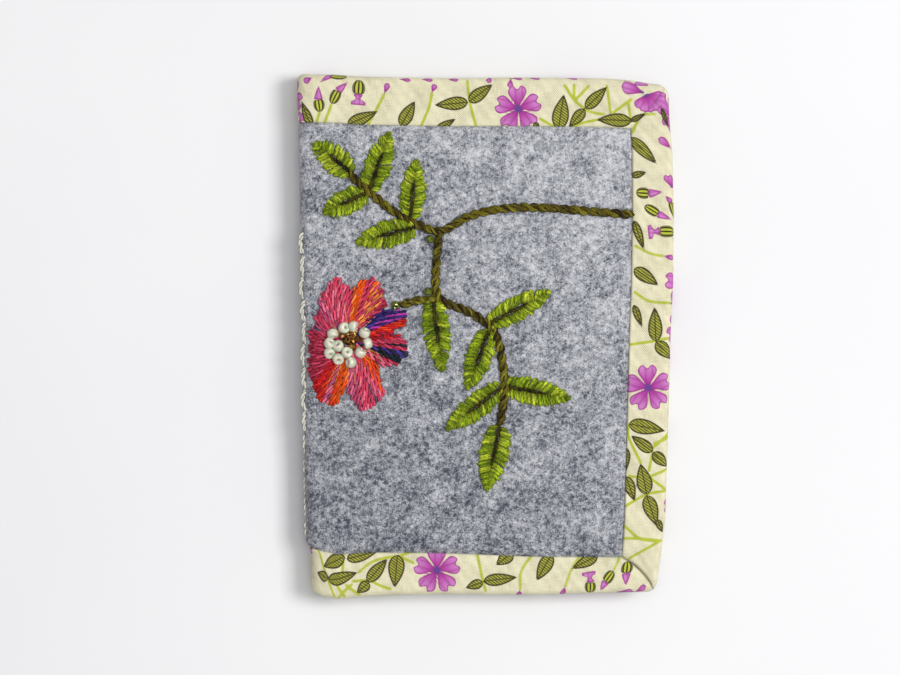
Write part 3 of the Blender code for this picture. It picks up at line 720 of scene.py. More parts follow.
# Front stems that end in a small bud, whose tip is the last point.
FRONT_TIPPED_STEMS = [
    ((-29.6, 53.2), (-27.2, 57.4), (-25.3, 61), (-24.3, 63.8)),
    ((-16.4, 52.6), (-14.2, 57.6), (-13.4, 61.3), (-12.5, 63.5)),
    ((36.2, 21.5), (39.6, 19.6), (42.7, 18.9), (45.7, 18.4)),
    ((35.8, 9.8), (39.2, 7.5), (44.4, 6.9), (46.6, 7)),
    ((9.7, -55.7), (6.8, -60), (6.5, -64.4), (6.2, -66.6)),
    ((21.9, -56), (19.5, -59.5), (17.8, -63.8), (17, -66.4)),
]


def draw_front(cloth):
    """Draw the front binding's own motifs."""
    for kind, motifs in FRONT_MOTIFS.items():
        for motif in motifs:
            getattr(cloth, kind)(*motif)
    for *points, tip in FRONT_TIPPED_STEMS:
        cloth.stem(*points, tip=tip)


def in_front_strips(x, y):
    """Say whether a sprig's middle would crowd the front's own motifs."""
    beside_ends = -50 < x < 55 and 41 < abs(y) < 74
    return beside_ends or (23 < x < 55 and -74 < y < 74)


def printed(x, y, front, seed):
    """Return the print's attributes at the cloth's points, for one face and then the other."""
    cloth = Print(x, y)
    if front:
        draw_front(cloth)
    cloth.scatter(seed, in_front_strips if front else None)
    return {name: np.concatenate([values, values]) for name, values in cloth.attributes().items()}


# ---- material building
class Shader:
    """A material with short calls for its nodes."""

    def __init__(self, name, **fixed):
        self.material = bpy.data.materials.new(name)
        self.material.use_nodes = True
        self.tree = self.material.node_tree
        self.surface = self.tree.nodes["Principled BSDF"]
        for key, value in fixed.items():
            self.surface.inputs[key.replace("_", " ")].default_value = value

    def node(self, kind, *inputs, **settings):
        """Add a node, and give its inputs in order; None leaves one as it is."""
        made = self.tree.nodes.new(kind)
        for key, value in settings.items():
            setattr(made, key, value)
        for socket, value in zip(made.inputs, inputs):
            self.join(socket, value)
        return made

    def join(self, socket, value):
        """Set or link one input."""
        if isinstance(value, bpy.types.NodeSocket):
            self.tree.links.new(value, socket)
        elif value is not None:
            if socket.type == "RGBA" and len(value) == 3:
                value = (*value, 1.0)
            socket.default_value = value

    def give(self, node, inputs):
        """Set or link some of a node's inputs, and return the node."""
        for key, value in inputs.items():
            self.join(node.inputs[key], value)
        return node

    def read(self, name, output="Vector"):
        """Read a point attribute."""
        return self.node("ShaderNodeAttribute", attribute_name=name).outputs[output]

    def split(self, vector):
        """Return a vector's three numbers."""
        return self.node("ShaderNodeSeparateXYZ", vector).outputs

    def join_xyz(self, x=0.0, y=0.0, z=0.0):
        return self.node("ShaderNodeCombineXYZ", x, y, z).outputs[0]

    def math(self, operation, a, b=0.5, c=0.5):
        return self.node("ShaderNodeMath", a, b, c, operation=operation).outputs[0]

    def mad(self, a, b, c):
        """Return a times b, plus c."""
        return self.math("MULTIPLY_ADD", a, b, c)

    def sine(self, value):
        return self.math("SINE", value)

    def scaled(self, vector, scale):
        return self.node("ShaderNodeVectorMath", vector, scale, operation="MULTIPLY").outputs[0]

    def added(self, a, b):
        return self.node("ShaderNodeVectorMath", a, b, operation="ADD").outputs[0]

    def turned(self, vector, angle):
        made = self.node("ShaderNodeVectorRotate", vector, rotation_type="Z_AXIS")
        return self.give(made, {"Angle": angle}).outputs[0]

    def noise(self, vector, scale, detail=2.0, roughness=0.5, output="Fac"):
        inputs = {"Vector": vector, "Scale": scale, "Detail": detail, "Roughness": roughness}
        return self.give(self.node("ShaderNodeTexNoise"), inputs).outputs[output]

    def fit(self, value, low, high, to_low=0.0, to_high=1.0):
        """Return the value moved from one range to another, and kept inside it."""
        return self.node("ShaderNodeMapRange", value, low, high, to_low, to_high, clamp=True).outputs[0]

    def ramp(self, value, *stops):
        """Return a colour from a list of (place, colour) stops."""
        made = self.node("ShaderNodeValToRGB", value)
        points = made.color_ramp.elements
        while len(points) < len(stops):
            points.new(0.5)
        for point, (position, colour) in zip(points, stops):
            point.position = position
            point.color = (*colour, 1.0)
        return made.outputs[0]

    def mix(self, share, a, b, blend="MIX"):
        """Return one colour laid over another."""
        made = self.node("ShaderNodeMix", data_type="RGBA", blend_type=blend)
        return self.give(made, {0: share, 6: a, 7: b}).outputs[2]

    def bump(self, height, distance, strength):
        inputs = {"Strength": strength, "Distance": distance * MM, "Height": height}
        return self.give(self.node("ShaderNodeBump"), inputs).outputs[0]

    def finish(self, colour, roughness=None, normal=None):
        """Link the results to the surface and return the material."""
        self.give(self.surface, {"Base Color": colour, "Roughness": roughness, "Normal": normal})
        return self.material


def fibre_lines(s, rest, warped, angles):
    """Return where single long fibres lie: thin lines along the middle value of stretched noises."""
    lines = None
    for angle in angles:
        field = s.noise(s.scaled(s.turned(warped, angle), (0.4, 2.1, 1.0)), 1.0, 1.0, 0.4)
        line = s.fit(s.math("ABSOLUTE", s.math("SUBTRACT", field, 0.5)), 0.0, 0.04, 1.0, 0.0)
        lines = line if lines is None else s.math("MAXIMUM", lines, line)
    offset = (angles[0] * 9, angles[1] * 9, 0)
    shown = s.noise(s.added(rest, s.join_xyz(*offset)), 0.8, 2.0)
    return s.math("MULTIPLY", lines, s.fit(shown, 0.42, 0.62))


def felt_material(name, dark, middle, light, painted_light_slope=0.0):
    """Wool-blend felt: short fibres in every direction, and darker flecks gathered in clouds; it can be
    painted lighter towards the upper right and darker towards the lower left, as the light falls off.
    """
    s = Shader(name, Sheen_Weight=0.25, Sheen_Roughness=0.6, Specular_IOR_Level=0.15)
    rest = s.read("rest")
    warped = s.added(rest, s.scaled(s.noise(rest, 0.7, output="Color"), (1.1, 1.1, 1.1)))
    fibres = None
    for angle, scale in ((0.35, (0.65, 3.4, 1.5)), (1.45, (0.7, 3.8, 1.5)), (2.5, (0.6, 3.2, 1.5))):
        layer = s.noise(s.scaled(s.turned(warped, angle), scale), 1.0, 3.0, 0.65)
        fibres = layer if fibres is None else s.math("ADD", fibres, layer)
    grain = s.noise(rest, 2.6, 3.0, 0.75)
    clouds = s.noise(rest, 0.16, 3.0, 0.6)
    patches = s.noise(rest, 0.6, 2.0, 0.6)
    pale = fibre_lines(s, rest, warped, (0.9, 2.2, 0.1, 1.5))
    navy = fibre_lines(s, rest, warped, (0.5, 2.7, 1.9, 1.2))
    tone = s.math("MULTIPLY", fibres, 0.9)
    tone = s.mad(grain, 0.5, tone)
    tone = s.mad(clouds, 0.8, tone)
    tone = s.mad(patches, 0.7, tone)
    # Painted light: lighter towards the upper right and darker towards the lower left, as the lamp's light
    # falls off.
    if painted_light_slope:
        x, y, _ = s.split(rest)
        lean = s.mad(x, 0.9, y)
        tone = s.math("ADD", tone, s.fit(lean, -80.0, 80.0, -painted_light_slope, painted_light_slope))
    colour = s.ramp(s.fit(tone, 2.09, 2.67), (0.0, dark), (0.42, middle), (1.0, light))
    colour = s.mix(s.math("MULTIPLY", navy, 0.7), colour, dark)
    colour = s.mix(s.math("MULTIPLY", pale, 0.55), colour, light)
    height = s.mad(grain, 0.6, fibres)
    return s.finish(colour, s.fit(grain, 0.3, 0.7, 0.85, 0.98), s.bump(height, 0.22, 0.7))


def cotton_material(name, inked=True, ground=CREAM, shade=CREAM_SHADE):
    """Fine plain-weave cotton, with the floral print where it is inked."""
    s = Shader(name, Sheen_Weight=0.1, Sheen_Roughness=0.5, Specular_IOR_Level=0.25)
    cloth = s.read("cloth")
    x, y, _ = s.split(cloth)
    wobble = s.noise(cloth, 0.8, 2.0)
    warp = s.sine(s.mad(x, 11.5, wobble))
    weft = s.sine(s.mad(y, 11.0, wobble))
    twill = s.sine(s.mad(s.math("ADD", x, y), 9.5, wobble))
    weave = s.mad(twill, 0.3, s.math("MULTIPLY", warp, weft))
    slub = s.noise(s.scaled(cloth, (0.35, 6.0, 1.0)), 1.0, 2.0)
    slub = s.math("ADD", slub, s.noise(s.scaled(cloth, (6.0, 0.35, 1.0)), 1.0, 2.0))
    mottle = s.noise(cloth, 0.22, 3.0)
    tone = s.mad(slub, 0.55, s.mad(weave, 0.13, s.math("MULTIPLY", mottle, 0.7)))
    colour = s.mix(s.fit(tone, 0.6, 1.25, 0.0, 0.9), ground, shade)
    if inked:
        edge = s.mad(s.noise(cloth, 3.5, 2.0), 0.16, -0.08)
        for ink in (ink_stems, ink_petals, ink_buds, ink_leaves):
            colour = ink(s, colour, edge)
        # Painted shade in the gaps between the woven threads, laid where the weave's tone is high.
        colour = s.mix(s.fit(tone, 0.85, 1.35, 0.0, 0.28), colour, THREAD_GAP_SHADE)
        # Painted shade in the mitre creases.
        colour = s.mix(s.read("crease", "Fac"), colour, CREASE_SHADE)
    height = s.mad(slub, 0.8, weave)
    return s.finish(colour, 0.82, s.bump(height, 0.09, 0.8))


def over(s, below, distance, colour, soft=0.1):
    """Lay an ink wherever a distance is below zero, with a slightly soft edge."""
    return s.mix(s.fit(distance, -soft, soft, 1.0, 0.0), below, colour)


def motif(s, name, edge):
    """Return a motif's distance, with an uneven edge, and the two places inside it."""
    distance, u, v = s.split(s.read(name))
    return s.math("ADD", distance, edge), u, v


def ink_stems(s, below, edge):
    """Lay the thin stems, which turn from yellow to green here and there."""
    stem = s.math("ADD", s.read("stem", "Fac"), edge)
    body = s.ramp(s.noise(s.read("cloth"), 0.4), (0.35, INK_LIME), (0.7, INK_STEM))
    return over(s, below, stem, body)


def ink_petals(s, below, edge):
    """Lay the petals, paler towards their ends, with fine lines along them and a dark rim."""
    distance, reach, across = motif(s, "petal", edge)
    dither = s.noise(s.read("cloth"), 2.4, 3.0, 0.7)
    veins = s.sine(s.math("MULTIPLY", across, 17.0))
    lines = s.math("ADD", veins, s.mad(dither, 2.4, -1.2))
    body = s.ramp(reach, (0.12, INK_MAGENTA_DEEP), (0.35, INK_MAGENTA), (0.8, INK_PINK))
    body = s.mix(s.fit(lines, 0.1, 1.2, 0.0, 0.6), body, INK_MAGENTA_DEEP)
    body = s.mix(s.fit(distance, -0.5, -0.15, 0.0, 0.9), body, INK_MAGENTA_DEEP)
    body = s.mix(s.fit(reach, 0.1, 0.2, 1.0, 0.0), body, INK_VIOLET)
    return over(s, below, distance, body)


def ink_buds(s, below, edge):
    """Lay the striped cups of the buds."""
    distance, along, across = motif(s, "bud", edge)
    stripes = s.sine(s.mad(across, 9.6, 1.57))
    body = s.mix(s.fit(stripes, -0.1, 0.5), INK_LIME, INK_BROWN)
    body = s.mix(s.fit(along, 0.0, 0.3, 0.3, 0.0), body, INK_BROWN)
    body = s.mix(s.fit(distance, -0.3, -0.1), body, INK_BROWN)
    return over(s, below, distance, body)


def ink_leaves(s, below, edge):
    """Lay the leaves, with a dark rim and midrib and slanting hatch lines."""
    distance, _, across = motif(s, "leaf", edge)
    side = s.math("ABSOLUTE", across)
    x, y, _ = s.split(s.read("cloth"))
    uneven = s.noise(s.read("cloth"), 1.6, 2.0)
    slant = s.mad(x, 6.4, s.math("MULTIPLY", y, 8.6))
    hatch = s.mad(uneven, 1.6, s.sine(s.mad(uneven, 2.0, slant)))
    body = s.mix(s.noise(s.read("cloth"), 0.9), INK_OLIVE_LIGHT, INK_OLIVE)
    body = s.mix(s.fit(hatch, 0.3, 1.4, 0.0, 0.85), body, INK_BROWN)
    body = s.mix(s.fit(side, 0.08, 0.2, 0.9, 0.0), body, INK_BROWN)
    body = s.mix(s.fit(distance, -0.5, -0.24), body, INK_BROWN)
    return over(s, below, distance, body)


def thread_material(name, roughness=0.5, spread=1.0):
    """Stranded embroidery thread: each fibre's colour from the piece, which holds painted shade and painted
    highlights, with fine slanting strands.
    """
    s = Shader(name, Specular_IOR_Level=0.06)
    along, across, seed = s.split(s.read("fibre"))
    slant = s.mad(along, 1.1 * spread, s.math("MULTIPLY", across, 2.6))
    strand_at = s.join_xyz(slant, s.math("MULTIPLY", along, 0.5), s.math("MULTIPLY", seed, 9.0))
    strands = s.noise(strand_at, 2.6, 3.0, 0.6)
    fine = s.noise(s.read("rest"), 7.0, 2.0, 0.6)
    tone = s.mad(fine, 0.5, strands)
    # The piece's colour: the thread's dye with painted shade under each ply and a painted highlight along
    # its crest.
    dye = s.read("dye", "Color")
    dark = s.mix(1.0, dye, (0.42, 0.4, 0.4), "MULTIPLY")
    light = s.mix(1.0, dye, (1.55, 1.55, 1.5), "MULTIPLY")
    share = s.fit(tone, 0.5, 1.0)
    low = s.mix(s.fit(share, 0.0, 0.5), dark, dye)
    colour = s.mix(s.fit(share, 0.5, 1.0), low, s.mix(0.07, light, PALE_FIBRE))
    return s.finish(colour, roughness, s.bump(tone, 0.12, 0.8))


def bead_material(name, colour, tint, rough, **fixed):
    """Small glass bead with a faintly uneven colour and surface, painted darker where it faces down, as
    shade.
    """
    s = Shader(name, **fixed)
    rest = s.read("rest")
    cloud = s.noise(rest, 0.9, 3.0)
    fine = s.noise(rest, 3.2, 2.0)
    body = s.mix(s.fit(cloud, 0.35, 0.65), colour, tint)
    # Painted shade: each bead's sides and underside, which face away from the light, are painted darker.
    edge = s.mix(1.0, body, (0.34, 0.33, 0.28), "MULTIPLY")
    body = s.mix(s.fit(s.read("lit", "Fac"), -0.35, 0.75), edge, body)
    return s.finish(body, s.fit(fine, 0.3, 0.7, rough * 0.7, rough * 1.5), s.bump(fine, 0.05, 0.4))


MATERIALS = {
    "cover_felt": felt_material(
        "cover_felt", (0.04, 0.045, 0.07), (0.26, 0.27, 0.30), (0.62, 0.63, 0.66), 0.13),
    "page_felt": felt_material("page_felt", (0.62, 0.60, 0.50), (0.74, 0.72, 0.62), (0.84, 0.82, 0.74)),
    "binding": cotton_material("binding"),
    "stiffener": cotton_material("stiffener", False, (0.8, 0.8, 0.78), (0.66, 0.66, 0.64)),
    "thread": thread_material("thread"),
    "leaf_thread": thread_material("leaf_thread", 0.6, 1.4),
    "white_glass": bead_material(
        "white_glass", (0.71, 0.72, 0.59), (0.50, 0.52, 0.40), 0.2,
        Coat_Weight=0.4, Coat_Roughness=0.08, Subsurface_Weight=0.5, Subsurface_Scale=0.0012),
    "green_glass": bead_material(
        "green_glass", (0.30, 0.36, 0.03), (0.10, 0.14, 0.02), 0.14,
        Metallic=0.75, Coat_Weight=0.6, Coat_Roughness=0.04),
    "gold_glass": bead_material(
        "gold_glass", (0.50, 0.26, 0.05), (0.16, 0.07, 0.012), 0.14,
        Metallic=0.9, Coat_Weight=0.5, Coat_Roughness=0.04),
}


def graded(length, step, fine):
    """Return shares from 0 to 1 along a length, closer together near both ends."""
    places = [0.0]
    while places[-1] < length:
        near_end = min(places[-1], length - places[-1])
        places.append(places[-1] + fine + (step - fine) * min(1.0, max(near_end, 0.0) / 2.5))
    return np.array(places) / places[-1]


def line_x(line, y):
    (px, py), (dx, dy) = line
    return px + (y - py) * dx / dy


def line_y(line, x):
    (px, py), (dx, dy) = line
    return py + (x - px) * dy / dx


# About how long a cover's parts are: from the spine to the fore seam and on to the edge, and from the
# lower edge to the lower seam, to the top seam and to the top edge.
PARTS_ACROSS, PARTS_UP = (88, 10), (9, 108, 11)


def cover_grid(step, fine, inset, start=FLAT_START):
    """Return flat points over a cover out to an inset edge, with rows and columns that follow the seams."""
    def places(lengths):
        parts = [graded(length, step, fine)[min(k, 1):] + k for k, length in enumerate(lengths)]
        return np.concatenate(parts)

    fore, top, lower = (edge_at(edge, inset) for edge in ("fore", "top", "lower"))
    across, up = places(PARTS_ACROSS), places(PARTS_UP)
    x, y = np.zeros((2, len(up), len(across)))
    for _ in range(6):
        fore_x = np.stack([np.full_like(y, start), line_x(SEAM_FORE, y), line_x(fore, y)])
        x = mix_lines(across[None, :] + 0 * y, fore_x)
        tops = np.stack([line_y(lower, x), line_y(SEAM_LOWER, x), line_y(SEAM_TOP, x), line_y(top, x)])
        y = mix_lines(up[:, None] + 0 * x, tops)
    return x, y


def mix_lines(places, lines):
    """Return values between the two lines on either side of each place."""
    index = np.clip(places.astype(int), 0, len(lines) - 2)
    low = np.take_along_axis(lines, index[None], 0)[0]
    high = np.take_along_axis(lines, index[None] + 1, 0)[0]
    return low + (high - low) * (places - index)


def fold(obj, side):
    """Let one half of the case bend where its cover meets the spine."""
    corner = (SPINE_X * MM, 0.0, (THICK / 2 + side * WALL) * MM)
    flat = (SPINE_END * MM, 0.0, (THICK / 2 + side * THICK / 2) * MM)
    if side == FRONT:
        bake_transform(obj, "spine", "front_cover", start=corner, end=flat)
    else:
        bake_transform(obj, "back_cover", "spine", start=flat, end=corner)


def finish_sheet(obj, side, nodes):
    """Hide the CAD nodes that a sheet of the case stands in for, and let it bend where its cover meets the
    spine.
    """
    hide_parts(*nodes)
    fold(obj, side)


def make_felt(side, pillow):
    """Make one half of the outer felt: half the spine and a cover, in one sheet."""
    name = SIDE_NAMES[side]
    x, y = cover_grid(FELT_STEP, 0.22, LAYER_INSET + 0.4)
    inside = seam_distance(x, y)
    fuzz = 0.035 * soft_noise(x, y, 1.1, 5 + side) + 0.03 * soft_noise(x, y, 3.1, 9 + side)
    groove = 0.75 * np.exp(-np.square(np.maximum(inside, 0) / 0.7))
    open_depth = np.minimum(fuzz - pillow(x, y) + groove, 0.95)
    mitres = [[FORE_TOP, INNER_TOP_CORNER], [FORE_LOWER, INNER_LOWER_CORNER]]
    near_mitre = np.minimum(*(line_distance(x, y, line) for line in mitres))
    under_strip = 0.78 + 0.37 * (1 - smoothstep(1.0, 2.6, near_mitre))
    outer = place(x, y, np.where(inside < 0, under_strip, open_depth), side)
    points, quads = close_sheet(outer, place(x, y, FELT_THICK, side))
    obj = make_piece(f"{name}_felt_sheet", points, quads, MATERIALS["cover_felt"])
    nodes = [f"{name}_felt", "spine_felt"]
    finish_sheet(obj, side, nodes)


def cover_depth(x, in_cover, in_spine):
    """Return a layer's depth, which is less where the spine has no stiffener."""
    return in_spine + (in_cover - in_spine) * smoothstep(SPINE_END - 0.5, SPINE_END + 1.5, x)


LINING_PRINT_SHIFT = 6.0


def make_lining(side):
    """Make one half of the printed lining."""
    name = SIDE_NAMES[side]
    x, y = cover_grid(0.75, 0.4, LAYER_INSET + 0.4)
    depth = cover_depth(x, LINING_DEPTH, SPINE_LINING_DEPTH) + 0.05 * soft_noise(x, y, 7, 31 + side)
    points, quads = close_sheet(place(x, y, depth, side), place(x, y, depth + CLOTH_THICK, side))
    print_on = printed(x + LINING_PRINT_SHIFT, y, False, 300 + side)
    obj = make_piece(f"{name}_lining_sheet", points, quads, MATERIALS["binding"], **print_on)
    nodes = [f"{name}_lining", "spine_lining"]
    finish_sheet(obj, side, nodes)


def make_stiffener(side):
    """Make the hidden stiff layer of one cover."""
    name = SIDE_NAMES[side]
    x, y = cover_grid(3.0, 1.5, LAYER_INSET + 1.0, SPINE_END + 0.5)
    points, quads = close_sheet(place(x, y, STIFF_DEPTH, side), place(x, y, STIFF_DEPTH + 0.5, side))
    obj = make_piece(f"{name}_stiffener_sheet", points, quads, MATERIALS["stiffener"], cloth=points)
    finish_sheet(obj, side, [f"{name}_stiffener"])


HEM_ROLL, INNER_HEM_ROLL = 0.55, 0.35


def binding_profile():
    """Return a strip's cross-section from its outer seam round the edge to its inner hem.

    Each row holds: the inset of the outer surface and of the inner surface, their depths, how far it is
    from the cover's edge along the cloth, and 1 where it is on the inner face.
    """
    r, t = COVER_THICK / 2, CLOTH_THICK
    rows = []
    for share in 1 - graded(BINDING_WIDTH - r, SHEET_STEP, 0.16):
        inset = r + (BINDING_WIDTH - r) * share
        roll = np.clip((inset - (BINDING_WIDTH - HEM_ROLL)) / HEM_ROLL, 0, 1)
        depth = 0.5 * (1 - math.sqrt(max(1 - roll**2, 0)))
        under = max(0.66, depth) if BINDING_WIDTH - inset < 1.2 else depth + t
        rows.append((inset, inset, depth, max(under, depth + 0.02), inset, 0))
    for angle in np.linspace(90, -90, 13)[1:-1]:
        c, s = math.cos(math.radians(angle)), math.sin(math.radians(angle))
        run = r - r * math.radians(90 - angle)
        rows.append((r - r * c, r - (r - t) * c, r - r * s, r - (r - t) * s, run, angle < 0))
    for share in graded(BINDING_INSIDE - r, SHEET_STEP, 0.2):
        inset = r + (BINDING_INSIDE - r) * share
        roll = np.clip((inset - (BINDING_INSIDE - INNER_HEM_ROLL)) / INNER_HEM_ROLL, 0, 1)
        lift = 0.28 * (1 - math.sqrt(max(1 - roll**2, 0)))
        run = 2 * r - math.pi * r - inset
        rows.append((inset, inset, COVER_THICK - lift, COVER_THICK - t - 0.02, run, 1))
    return np.array(rows, float)


# How deep the mitres at a strip's start and end are: the lower one gapes, the top one hardly shows.
MITRES = {"top": (0.0, 0.25), "fore": (0.25, 1.0), "lower": (1.0, 0.0)}
MITRE_DEPTH, MITRE_WIDTH, MITRE_BOW = 0.75, 0.5, 0.9


def bow_mitre(points, away, share):
    """Curve a mitre seam a little, and let the cloth beside it follow."""
    normal = np.array([0.7, 0.7])
    amount = MITRE_BOW * np.sin(math.pi * np.clip(share, 0, 1)) * (1 - smoothstep(0, 7, away))
    return points + amount[..., None] * normal


# Each strip: the two ends of its outer edge, and then those of its seam.
STRIPS = {
    "top": ((FLAT_START, HALF_LENGTH), FORE_TOP,
            (FLAT_START, line_y(SEAM_TOP, FLAT_START)), INNER_TOP_CORNER),
    "fore": (FORE_TOP, FORE_LOWER, INNER_TOP_CORNER, INNER_LOWER_CORNER),
    "lower": (FORE_LOWER, (FLAT_START, -HALF_LENGTH), INNER_LOWER_CORNER,
              (FLAT_START, line_y(SEAM_LOWER, FLAT_START))),
}


def hem_ends(strip):
    """Return the two ends of a strip's inner hem."""
    order = list(STRIPS)
    k = order.index(strip)
    own = edge_at(strip, BINDING_INSIDE)
    before = edge_at(order[k - 1], BINDING_INSIDE) if k > 0 else SPINE_MIDDLE
    after = edge_at(order[k + 1], BINDING_INSIDE) if k < 2 else SPINE_MIDDLE
    return meet(before, own), meet(own, after)


def strip_relief(strip, seed, inset, inner, along, length, on_spine):
    """Return how far a strip stands up from its plain face, and how much shade is painted into the creases
    at its mitres.
    """
    outside = inner < 1
    puff = 0.32 * np.sin(math.pi * np.clip(inset / BINDING_WIDTH, 0, 1)) ** 0.6 * outside
    waves = soft_noise(along, inset, 9, seed) * 0.16 + soft_noise(along, inset * 0.6, 3.2, seed + 1) * 0.06
    body = smoothstep(0, 2.5, inset) * smoothstep(0, 1.6, BINDING_WIDTH - inset) * outside
    rise = (puff + waves * body) * (1 - 0.6 * on_spine)
    crease = np.zeros(on_spine.shape)
    for deep, away in zip(MITRES[strip], (along, length - along)):
        if deep:
            groove = np.exp(-np.square(away / MITRE_WIDTH)) * smoothstep(0.8, 3.5, inset) * outside
            rise = rise * smoothstep(0, 2.2, away) - MITRE_DEPTH * deep * groove
            # Painted shade, darkest along the mitre line.
            crease = crease + 0.75 * deep * np.exp(-np.square(away / (0.7 * MITRE_WIDTH))) * outside
    return rise, crease


def make_binding(side, strip):
    """Make one strip of printed binding, from its outer seam round the cover's edge to its inner hem."""
    name = SIDE_NAMES[side]
    e0, e1, s0, s1, h0, h1 = (np.asarray(p, float) for p in (*STRIPS[strip], *hem_ends(strip)))
    length = np.hypot(*(e1 - e0))
    u = graded(length, SHEET_STEP, 0.2)[:, None]
    edge, seam, hem = (a + (b - a) * u[..., None] for a, b in ((e0, e1), (s0, s1), (h0, h1)))
    inset, inset_in, depth, depth_in, run, inner = binding_profile().T[:, None, :]

    def between(line, share):
        return edge + (line - edge) * share[..., None]

    def flat(inset_of):
        inwards, outwards = between(hem, inset_of / BINDING_INSIDE), between(seam, inset_of / BINDING_WIDTH)
        return np.where(inner[..., None] > 0, inwards, outwards)

    top, under, cloth = flat(inset), flat(inset_in), between(seam, run / BINDING_WIDTH)
    along = u * length
    if strip != "top":
        away = length - along if strip == "fore" else along
        share = np.where(inner > 0, 0, inset / BINDING_WIDTH)
        top, under = (bow_mitre(points, away, share) for points in (top, under))
    on_spine = 1 - smoothstep(SPINE_END - 0.5, SPINE_END + 1.0, top[..., 0])
    squeeze = 1 - on_spine * (1 - SPINE_THICK / COVER_THICK)
    rise, crease = strip_relief(strip, 40 + 7 * len(strip) + side, inset, inner, along, length, on_spine)
    outer = place(top[..., 0], top[..., 1], depth * squeeze - rise, side)
    within = place(under[..., 0], under[..., 1], depth_in * squeeze - rise * (depth_in < 0.6), side)
    points, quads = close_sheet(outer, within)
    print_on = printed(cloth[..., 0], cloth[..., 1], side == FRONT, 100 + side)
    obj = make_piece(f"{name}_binding_{strip}_strip", points, quads, MATERIALS["binding"],
                     crease=np.tile(crease.ravel(), 2), **print_on)
    nodes = [f"{name}_binding_{strip}"] + ([f"spine_binding_{strip}"] if strip != "fore" else [])
    finish_sheet(obj, side, nodes)


PAGE_HALF_HEIGHT = node_box("page_1")[1][1]
PAGE_BACK_X = -43.9
PAGE_STEPS = (1.6, 0.2)


def page_path(low, high, outer_pair):
    """Return a page's middle line, as x and z, from the fold at its back to its fore edge."""
    middle, centre = (low[2] + high[2]) / 2, THICK / 2
    reach, start = (0.75, PAGE_BACK_X) if outer_pair else (0.5, PAGE_BACK_X + 0.55)
    turn = np.radians(np.linspace(4, 90, 10))
    curve = np.stack([start - reach * np.cos(turn), centre + (middle - centre) * np.sin(turn)], -1)
    run = graded(high[0] - start, *PAGE_STEPS)[1:]
    return np.vstack([curve, np.stack([start + (high[0] - start) * run, np.full(len(run), middle)], -1)])


def make_page(number):
    """Make one felt page, curved at its back into the fold that it shares with its partner."""
    low, high = node_box(f"page_{number}")
    path = page_path(low, high, number in (1, 4))
    ahead = np.gradient(path, axis=0)
    ahead /= np.linalg.norm(ahead, axis=1)[:, None]
    y = (graded(2 * PAGE_HALF_HEIGHT, *PAGE_STEPS) * 2 - 1) * PAGE_HALF_HEIGHT
    yy, k = np.meshgrid(y, np.arange(len(path)), indexing="ij")
    (x, z), (ahead_x, ahead_z) = path[k].transpose(2, 0, 1), ahead[k].transpose(2, 0, 1)
    to_edge = np.minimum(PAGE_HALF_HEIGHT - np.abs(yy), high[0] - x)
    round_edge = np.sqrt(np.clip(1 - np.square(1 - np.clip(to_edge / 0.35, 0, 1)) * 0.75, 0, 1))
    wave = 0.05 * soft_noise(x, yy, 9, 60 + number)
    trim = 0.12 * soft_noise(yy, x, 1.7, 70 + number) * (1 - np.clip(to_edge / 0.5, 0, 1))
    faces = []
    for half in ((high[2] - low[2]) / 2, (low[2] - high[2]) / 2):
        shift = half * round_edge + wave
        faces.append(np.stack([x - ahead_z * shift - trim, yy, z + ahead_x * shift], -1))
    points, quads = close_sheet(*faces)
    obj = make_piece(f"page_{number}_sheet", points, quads, MATERIALS["page_felt"])
    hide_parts(f"page_{number}")
    back, level = (PAGE_BACK_X - 1.2) * MM, (low[2] + high[2]) / 2 * MM
    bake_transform(obj, "spine", f"page_{number}", start=(back, 0, level), end=(back + 2.5 * MM, 0, level))


# ---- embroidery
LIMES = [(0.16, 0.235, 0.006), (0.22, 0.31, 0.008), (0.30, 0.385, 0.015), (0.115, 0.175, 0.004),
         (0.40, 0.47, 0.03)]
BARKS = [(0.05, 0.037, 0.002), (0.105, 0.086, 0.004), (0.018, 0.011, 0.002), (0.17, 0.15, 0.01)]
PINK = (0.60, 0.05, 0.11)
PALE_PINK = (0.70, 0.14, 0.22)
MAUVE = (0.36, 0.065, 0.15)
ORANGE = (0.68, 0.08, 0.006)
PEACH = (0.80, 0.22, 0.055)
RED = (0.46, 0.008, 0.012)
SCARLET = (0.66, 0.035, 0.006)
CRIMSON = (0.27, 0.012, 0.035)
ROSE = (0.45, 0.034, 0.085)
NAVY = (0.02, 0.012, 0.11)
VIOLET = (0.06, 0.03, 0.26)
PURPLE = (0.32, 0.03, 0.26)
TEAL_BLACK = (0.006, 0.012, 0.02)
SLATE = (0.06, 0.06, 0.09)
